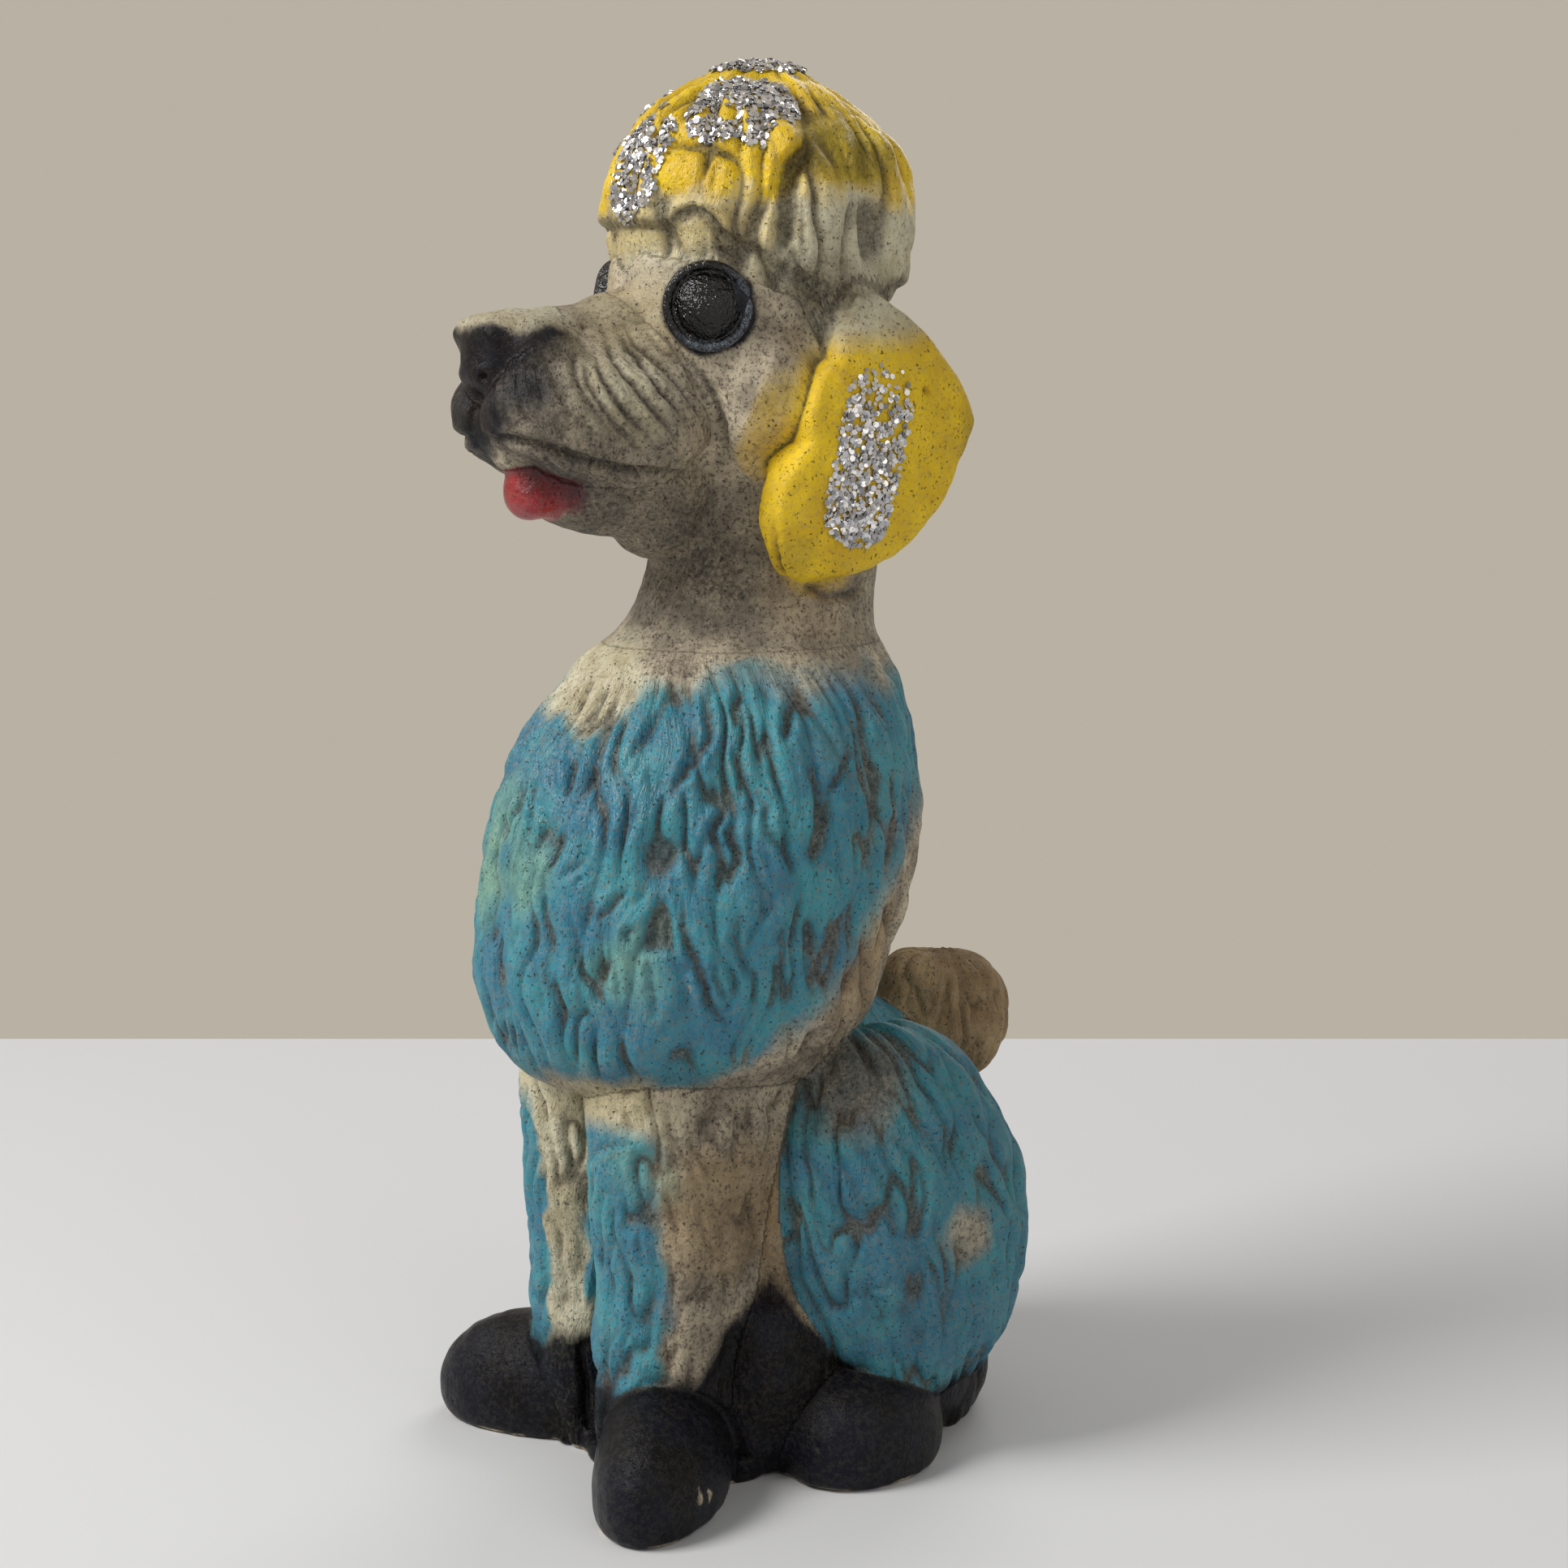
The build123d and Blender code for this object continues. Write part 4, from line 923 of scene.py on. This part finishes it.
def islands(labels):
    """Numbers the connected patches of equal label on the skin."""
    patch = np.arange(count)
    same = edges[labels[edges[:, 0]] == labels[edges[:, 1]]]
    while True:
        lowest = patch.copy()
        np.minimum.at(lowest, same[:, 0], patch[same[:, 1]])
        np.minimum.at(lowest, same[:, 1], patch[same[:, 0]])
        lowest = lowest[lowest]
        if np.array_equal(lowest, patch):
            return patch
        patch = lowest


def tidy_labels(labels, rounds):
    """Smooths the borders between the forms and gives lost scraps to the form around them."""
    for _ in range(rounds):
        votes = np.stack([melt((labels == k).astype(float), 1.2) for k in range(len(CAST_FORMS))])
        labels = votes.argmax(axis=0)
    patch = islands(labels)
    sizes = np.bincount(patch, minlength=count)[patch]
    lost = sizes < SMALL_ISLAND
    for _ in range(MOST_ROUNDS):
        for k in range(len(CAST_FORMS)):
            front = edges[(labels[edges[:, 0]] == k) & ~lost[edges[:, 0]] & lost[edges[:, 1]], 1]
            back = edges[(labels[edges[:, 1]] == k) & ~lost[edges[:, 1]] & lost[edges[:, 0]], 0]
            taken = np.concatenate((front, back))
            labels[taken] = k
            lost[taken] = False
        if not lost.any():
            break
    return labels


label = tidy_labels(form_at.copy(), 3)
faces = np.empty(len(mesh.polygons) * 4, dtype=np.int64)
mesh.polygons.foreach_get("vertices", faces)
faces = faces.reshape(-1, 4)
face_label = np.sort(label[faces], axis=1)[:, 1]
painted = {"tan": tan, "cream": cream, "blue": blue, "green": green, "yellow": yellow, "yellow_in_shade": yellow_in_shade,
           "red": red, "black": black, "dirt_and_shade": dirt_and_shade, "gloss": gloss, "wool_amount": wool_amount}


def part_of_casting(name, form):
    """Takes one form's share of the skin as a piece of its own. Its open side is turned
    inwards as a short skirt, and closed from there to the middle of its rim."""
    used, own = np.unique(faces[face_label == CAST_FORMS.index(form)], return_inverse=True)
    own = own.reshape(-1, 4)
    starts = own.ravel()
    ends = np.roll(own, -1, axis=1).ravel()
    is_open = ~np.isin(ends * len(used) + starts, starts * len(used) + ends)
    rim, rim_index = np.unique(np.concatenate((starts[is_open], ends[is_open])), return_inverse=True)
    rim_starts, rim_ends = rim_index.reshape(2, -1) + len(used)
    inner = points[used][rim] - SKIRT * normals[used][rim]
    places = np.vstack((points[used], inner, inner.mean(axis=0)))
    apex = np.full(len(rim_starts), len(places) - 1)
    skirt = np.column_stack((ends[is_open], starts[is_open], rim_starts, rim_ends))
    cone = np.column_stack((rim_ends, rim_starts, apex))
    piece_mesh = bpy.data.meshes.new(name)
    piece_mesh.from_pydata(places * MM, [], own.tolist() + skirt.tolist() + cone.tolist())
    from_skin = np.concatenate((used, used[rim], used[:1]))
    for share_name, values in painted.items():
        attribute = piece_mesh.attributes.new(share_name, "FLOAT", "POINT")
        attribute.data.foreach_set("value", values[from_skin].astype(np.float32))
    attribute = piece_mesh.attributes.new("combed", "FLOAT_VECTOR", "POINT")
    attribute.data.foreach_set("vector", combed[from_skin].astype(np.float32).ravel())
    piece_mesh.polygons.foreach_set("use_smooth", np.ones(len(piece_mesh.polygons), dtype=bool))
    piece_mesh.normals_split_custom_set_from_vertices(normals[from_skin])
    piece_mesh.materials.append(chalkware)
    piece = bpy.data.objects.new(name, piece_mesh)
    bpy.context.collection.objects.link(piece)
    return piece


for piece_name, (form, slot_name) in PIECES.items():
    piece = part_of_casting(piece_name, form)
    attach(piece, "root")
    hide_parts(form)
bpy.data.objects.remove(clay)

# Eyes. Each is a pressed button with a raised rim, brushed with thick black enamel that has
# dried glossy and slightly wrinkled, with a painted bluish highlight on the lower right of the rim.
EYE_STEP = 0.4
EYE_TURN = math.radians(60)
EYE_FACING = np.array((math.sin(EYE_TURN), -math.cos(EYE_TURN), 0))
RIGHT_EYE_BACK = (1.0, 2.2, 2.5)
# In mm: where the painted highlight on the rim starts and is full, outwards from the middle
RIM_HIGHLIGHT_RADII = (7.2, 8.2)
# Patterns in the enamel: size in mm, detail and roughness
ENAMEL_PATTERNS = {"wear": (0.7, 4, 0.8), "streaks": (1.0, 3, 0.7), "wrinkles": (1.0, 2, 0.6)}
# Brushed enamel: deep black and glossy, with a painted bluish highlight in patches on the rim
enamel, tree, shader = new_material("thick_black_enamel")
pattern = add_patterns(tree, ENAMEL_PATTERNS)
highlight_breakup = add_node(tree, "MapRange", {"Value": pattern["wear"], "From Min": 0.42, "From Max": 0.6})
rim_highlight = add_node(tree, "Attribute", output="Fac", attribute_name="rim")
rim_highlight = add_node(tree, "Math", {0: rim_highlight, 1: highlight_breakup}, **MULTIPLY)
rim_highlight = add_node(tree, "Math", {0: rim_highlight, 1: 0.55}, **MULTIPLY)
black_or_highlight = add_node(tree, "Mix", {0: rim_highlight, 6: linear("#020203"), 7: linear("#8B97A6")}, **COLOURS)
tree.links.new(black_or_highlight, shader.inputs["Base Color"])
streaked = add_node(tree, "MapRange", {"Value": pattern["streaks"], "From Min": 0.35, "From Max": 0.7,
                                       "To Min": 0.08, "To Max": 0.22})
tree.links.new(streaked, shader.inputs["Roughness"])
shader.inputs["IOR"].default_value = 1.5
wrinkles = add_node(tree, "Bump", {"Height": pattern["wrinkles"], "Distance": 0.7 * MM, "Strength": 1.0})
tree.links.new(wrinkles, shader.inputs["Normal"])

for side, name in ((1, "left"), (-1, "right")):
    eye = remesh(copy_of(name + "_eye", name + "_eye_button"), EYE_STEP)
    mirror = np.array((side, 1, 1))
    set_back = np.array(RIGHT_EYE_BACK) if side < 0 else np.zeros(3)
    places = np.empty(len(eye.data.vertices) * 3)
    eye.data.vertices.foreach_get("co", places)
    places = places.reshape(-1, 3) / MM
    rel = places - EYE_MIDDLE * mirror
    out = rel @ (EYE_FACING * mirror)
    radius = np.linalg.norm(rel - out[:, None] * EYE_FACING * mirror, axis=1)
    uneven = 0.16 * ripple(places, 2.6, 51) * ramp(out, -1, 1)
    places += uneven[:, None] * EYE_FACING * mirror + set_back
    eye.data.vertices.foreach_set("co", (places * MM).ravel())
    rim_highlight_layer = eye.data.attributes.new("rim", "FLOAT", "POINT")
    # Painted highlight: on the rim, towards the lower right
    rim_highlight_share = ramp(radius, *RIM_HIGHLIGHT_RADII) * ramp(out, -0.6, 0.6)
    rim_highlight_share *= ramp(0.8 * rel[:, 1] - 0.6 * rel[:, 2], -5, 6)
    rim_highlight_layer.data.foreach_set("value", rim_highlight_share.astype(np.float32))
    bpy.ops.object.shade_smooth()
    eye.data.materials.append(enamel)
    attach(eye, "root")
    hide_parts(name + "_eye")

# Glitter. Hexagonal flakes of silvered film, about 1 mm across, scattered by hand into wet glue
# so that they lie at all angles and overlap.
FLAKE_RADIUS = 0.62
FLAKE_THICKNESS = 0.09
FLAKE_TILT = 0.24           # how far a flake leans, against its own height
PATCH_HEIGHT = 4            # how far the skin may lie from the patch under the flakes, in mm
PATCH_EDGE, PATCH_WAVE = 0.9, 0.5
# Each patch: the node it stands for, flakes per square mm, and seed
PATCHES = {
    "front_flakes": ("topknot_glitter_front", 1.9, 61),
    "left_flakes": ("topknot_glitter_left", 1.9, 62),
    "right_flakes": ("topknot_glitter_right", 1.9, 63),
    "crown_flakes": ("topknot_glitter_crown", 1.9, 64),
    "left_ear_flakes": ("ear_glitter_left", 1.7, 65),
    "right_ear_flakes": ("ear_glitter_right", 1.7, 66),
}
# On the ears the flakes thin out towards the top: fewest, and the heights between which they thin
EAR_FEWEST, EAR_THIN_FROM, EAR_THIN_OVER = 0.25, 248, 22
# Silvered plastic film: each flake is a small mirror of its own brightness
flake_film, tree, shader = new_material("silvered_film_flakes")
tint = add_node(tree, "Attribute", output="Fac", attribute_name="tint")
silver = add_node(tree, "Mix", {0: tint, 6: linear("#8E8E94"), 7: linear("#F4F4F6")}, **COLOURS)
tree.links.new(silver, shader.inputs["Base Color"])
flake_roughness = add_node(tree, "MapRange", {"Value": tint, "To Min": 0.38, "To Max": 0.16})
tree.links.new(flake_roughness, shader.inputs["Roughness"])
shader.inputs["Metallic"].default_value = 1.0


def scatter_flakes(name, node_name, density, seed):
    """Covers the skin under a glitter patch with loose flakes."""
    patch = copy_of(node_name, "patch")
    patch_places = [v.co / MM for v in patch.data.vertices]
    patch_tree = BVHTree.FromPolygons(patch_places, [p.vertices[:] for p in patch.data.polygons])
    low = np.array([v.co for v in patch.data.vertices]).min(axis=0) / MM - PATCH_HEIGHT
    high = np.array([v.co for v in patch.data.vertices]).max(axis=0) / MM + PATCH_HEIGHT
    bpy.data.objects.remove(patch)
    rolls = np.random.default_rng(seed)
    near = np.flatnonzero(((points > low) & (points < high)).all(axis=1))
    spots = []
    for i in near:
        off = points[i] - np.array(patch_tree.find_nearest(Vector(points[i]))[0])
        height = off @ normals[i]
        sideways_off = np.linalg.norm(off - height * normals[i])
        if abs(height) < PATCH_HEIGHT and sideways_off < PATCH_EDGE + PATCH_WAVE * fine_wave[i]:
            spots.append(i)
    if "ear" in name:
        below = np.clip((EAR_THIN_FROM - points[spots, 2]) / EAR_THIN_OVER, 0, 1)
        kept = EAR_FEWEST + (1 - EAR_FEWEST) * below
        spots = [i for i, share in zip(spots, kept) if rolls.uniform() < share]
    chosen = rolls.choice(spots, size=round(len(spots) * SKIN_STEP ** 2 * density))
    places, flake_faces, tints = [], [], []
    for i in chosen:
        normal = Vector(normals[i])
        tilt = Vector(rolls.normal(0, FLAKE_TILT, 3))
        up = (normal + tilt).normalized()
        sideways = up.orthogonal().normalized()
        sideways.rotate(Matrix.Rotation(rolls.uniform(0, math.pi), 3, up))
        other = up.cross(sideways)
        jitter = rolls.uniform(-0.4, 0.4, 2)
        middle = Vector(points[i]) + normal * rolls.uniform(0.15, 0.6)
        middle = middle + sideways * jitter[0] + other * jitter[1]
        size = FLAKE_RADIUS * rolls.uniform(0.75, 1.2)
        base = len(places)
        for level in (-0.5, 0.5):
            for corner in range(6):
                angle = corner * math.pi / 3
                places.append((middle + size * (math.cos(angle) * sideways + math.sin(angle) * other)
                               + level * FLAKE_THICKNESS * up) * MM)
        flake_faces.append([base + k for k in range(5, -1, -1)])
        flake_faces.append([base + 6 + k for k in range(6)])
        flake_faces += [[base + k, base + (k + 1) % 6, base + 6 + (k + 1) % 6, base + 6 + k]
                        for k in range(6)]
        tints += [rolls.uniform()] * 12
    flakes_mesh = bpy.data.meshes.new(name)
    flakes_mesh.from_pydata(places, [], flake_faces)
    flakes_mesh.attributes.new("tint", "FLOAT", "POINT").data.foreach_set("value", tints)
    flakes_mesh.materials.append(flake_film)
    flakes = bpy.data.objects.new(name, flakes_mesh)
    bpy.context.collection.objects.link(flakes)
    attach(flakes, "root")
    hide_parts(node_name)


for patch_name, patch_row in PATCHES.items():
    scatter_flakes(patch_name, *patch_row)
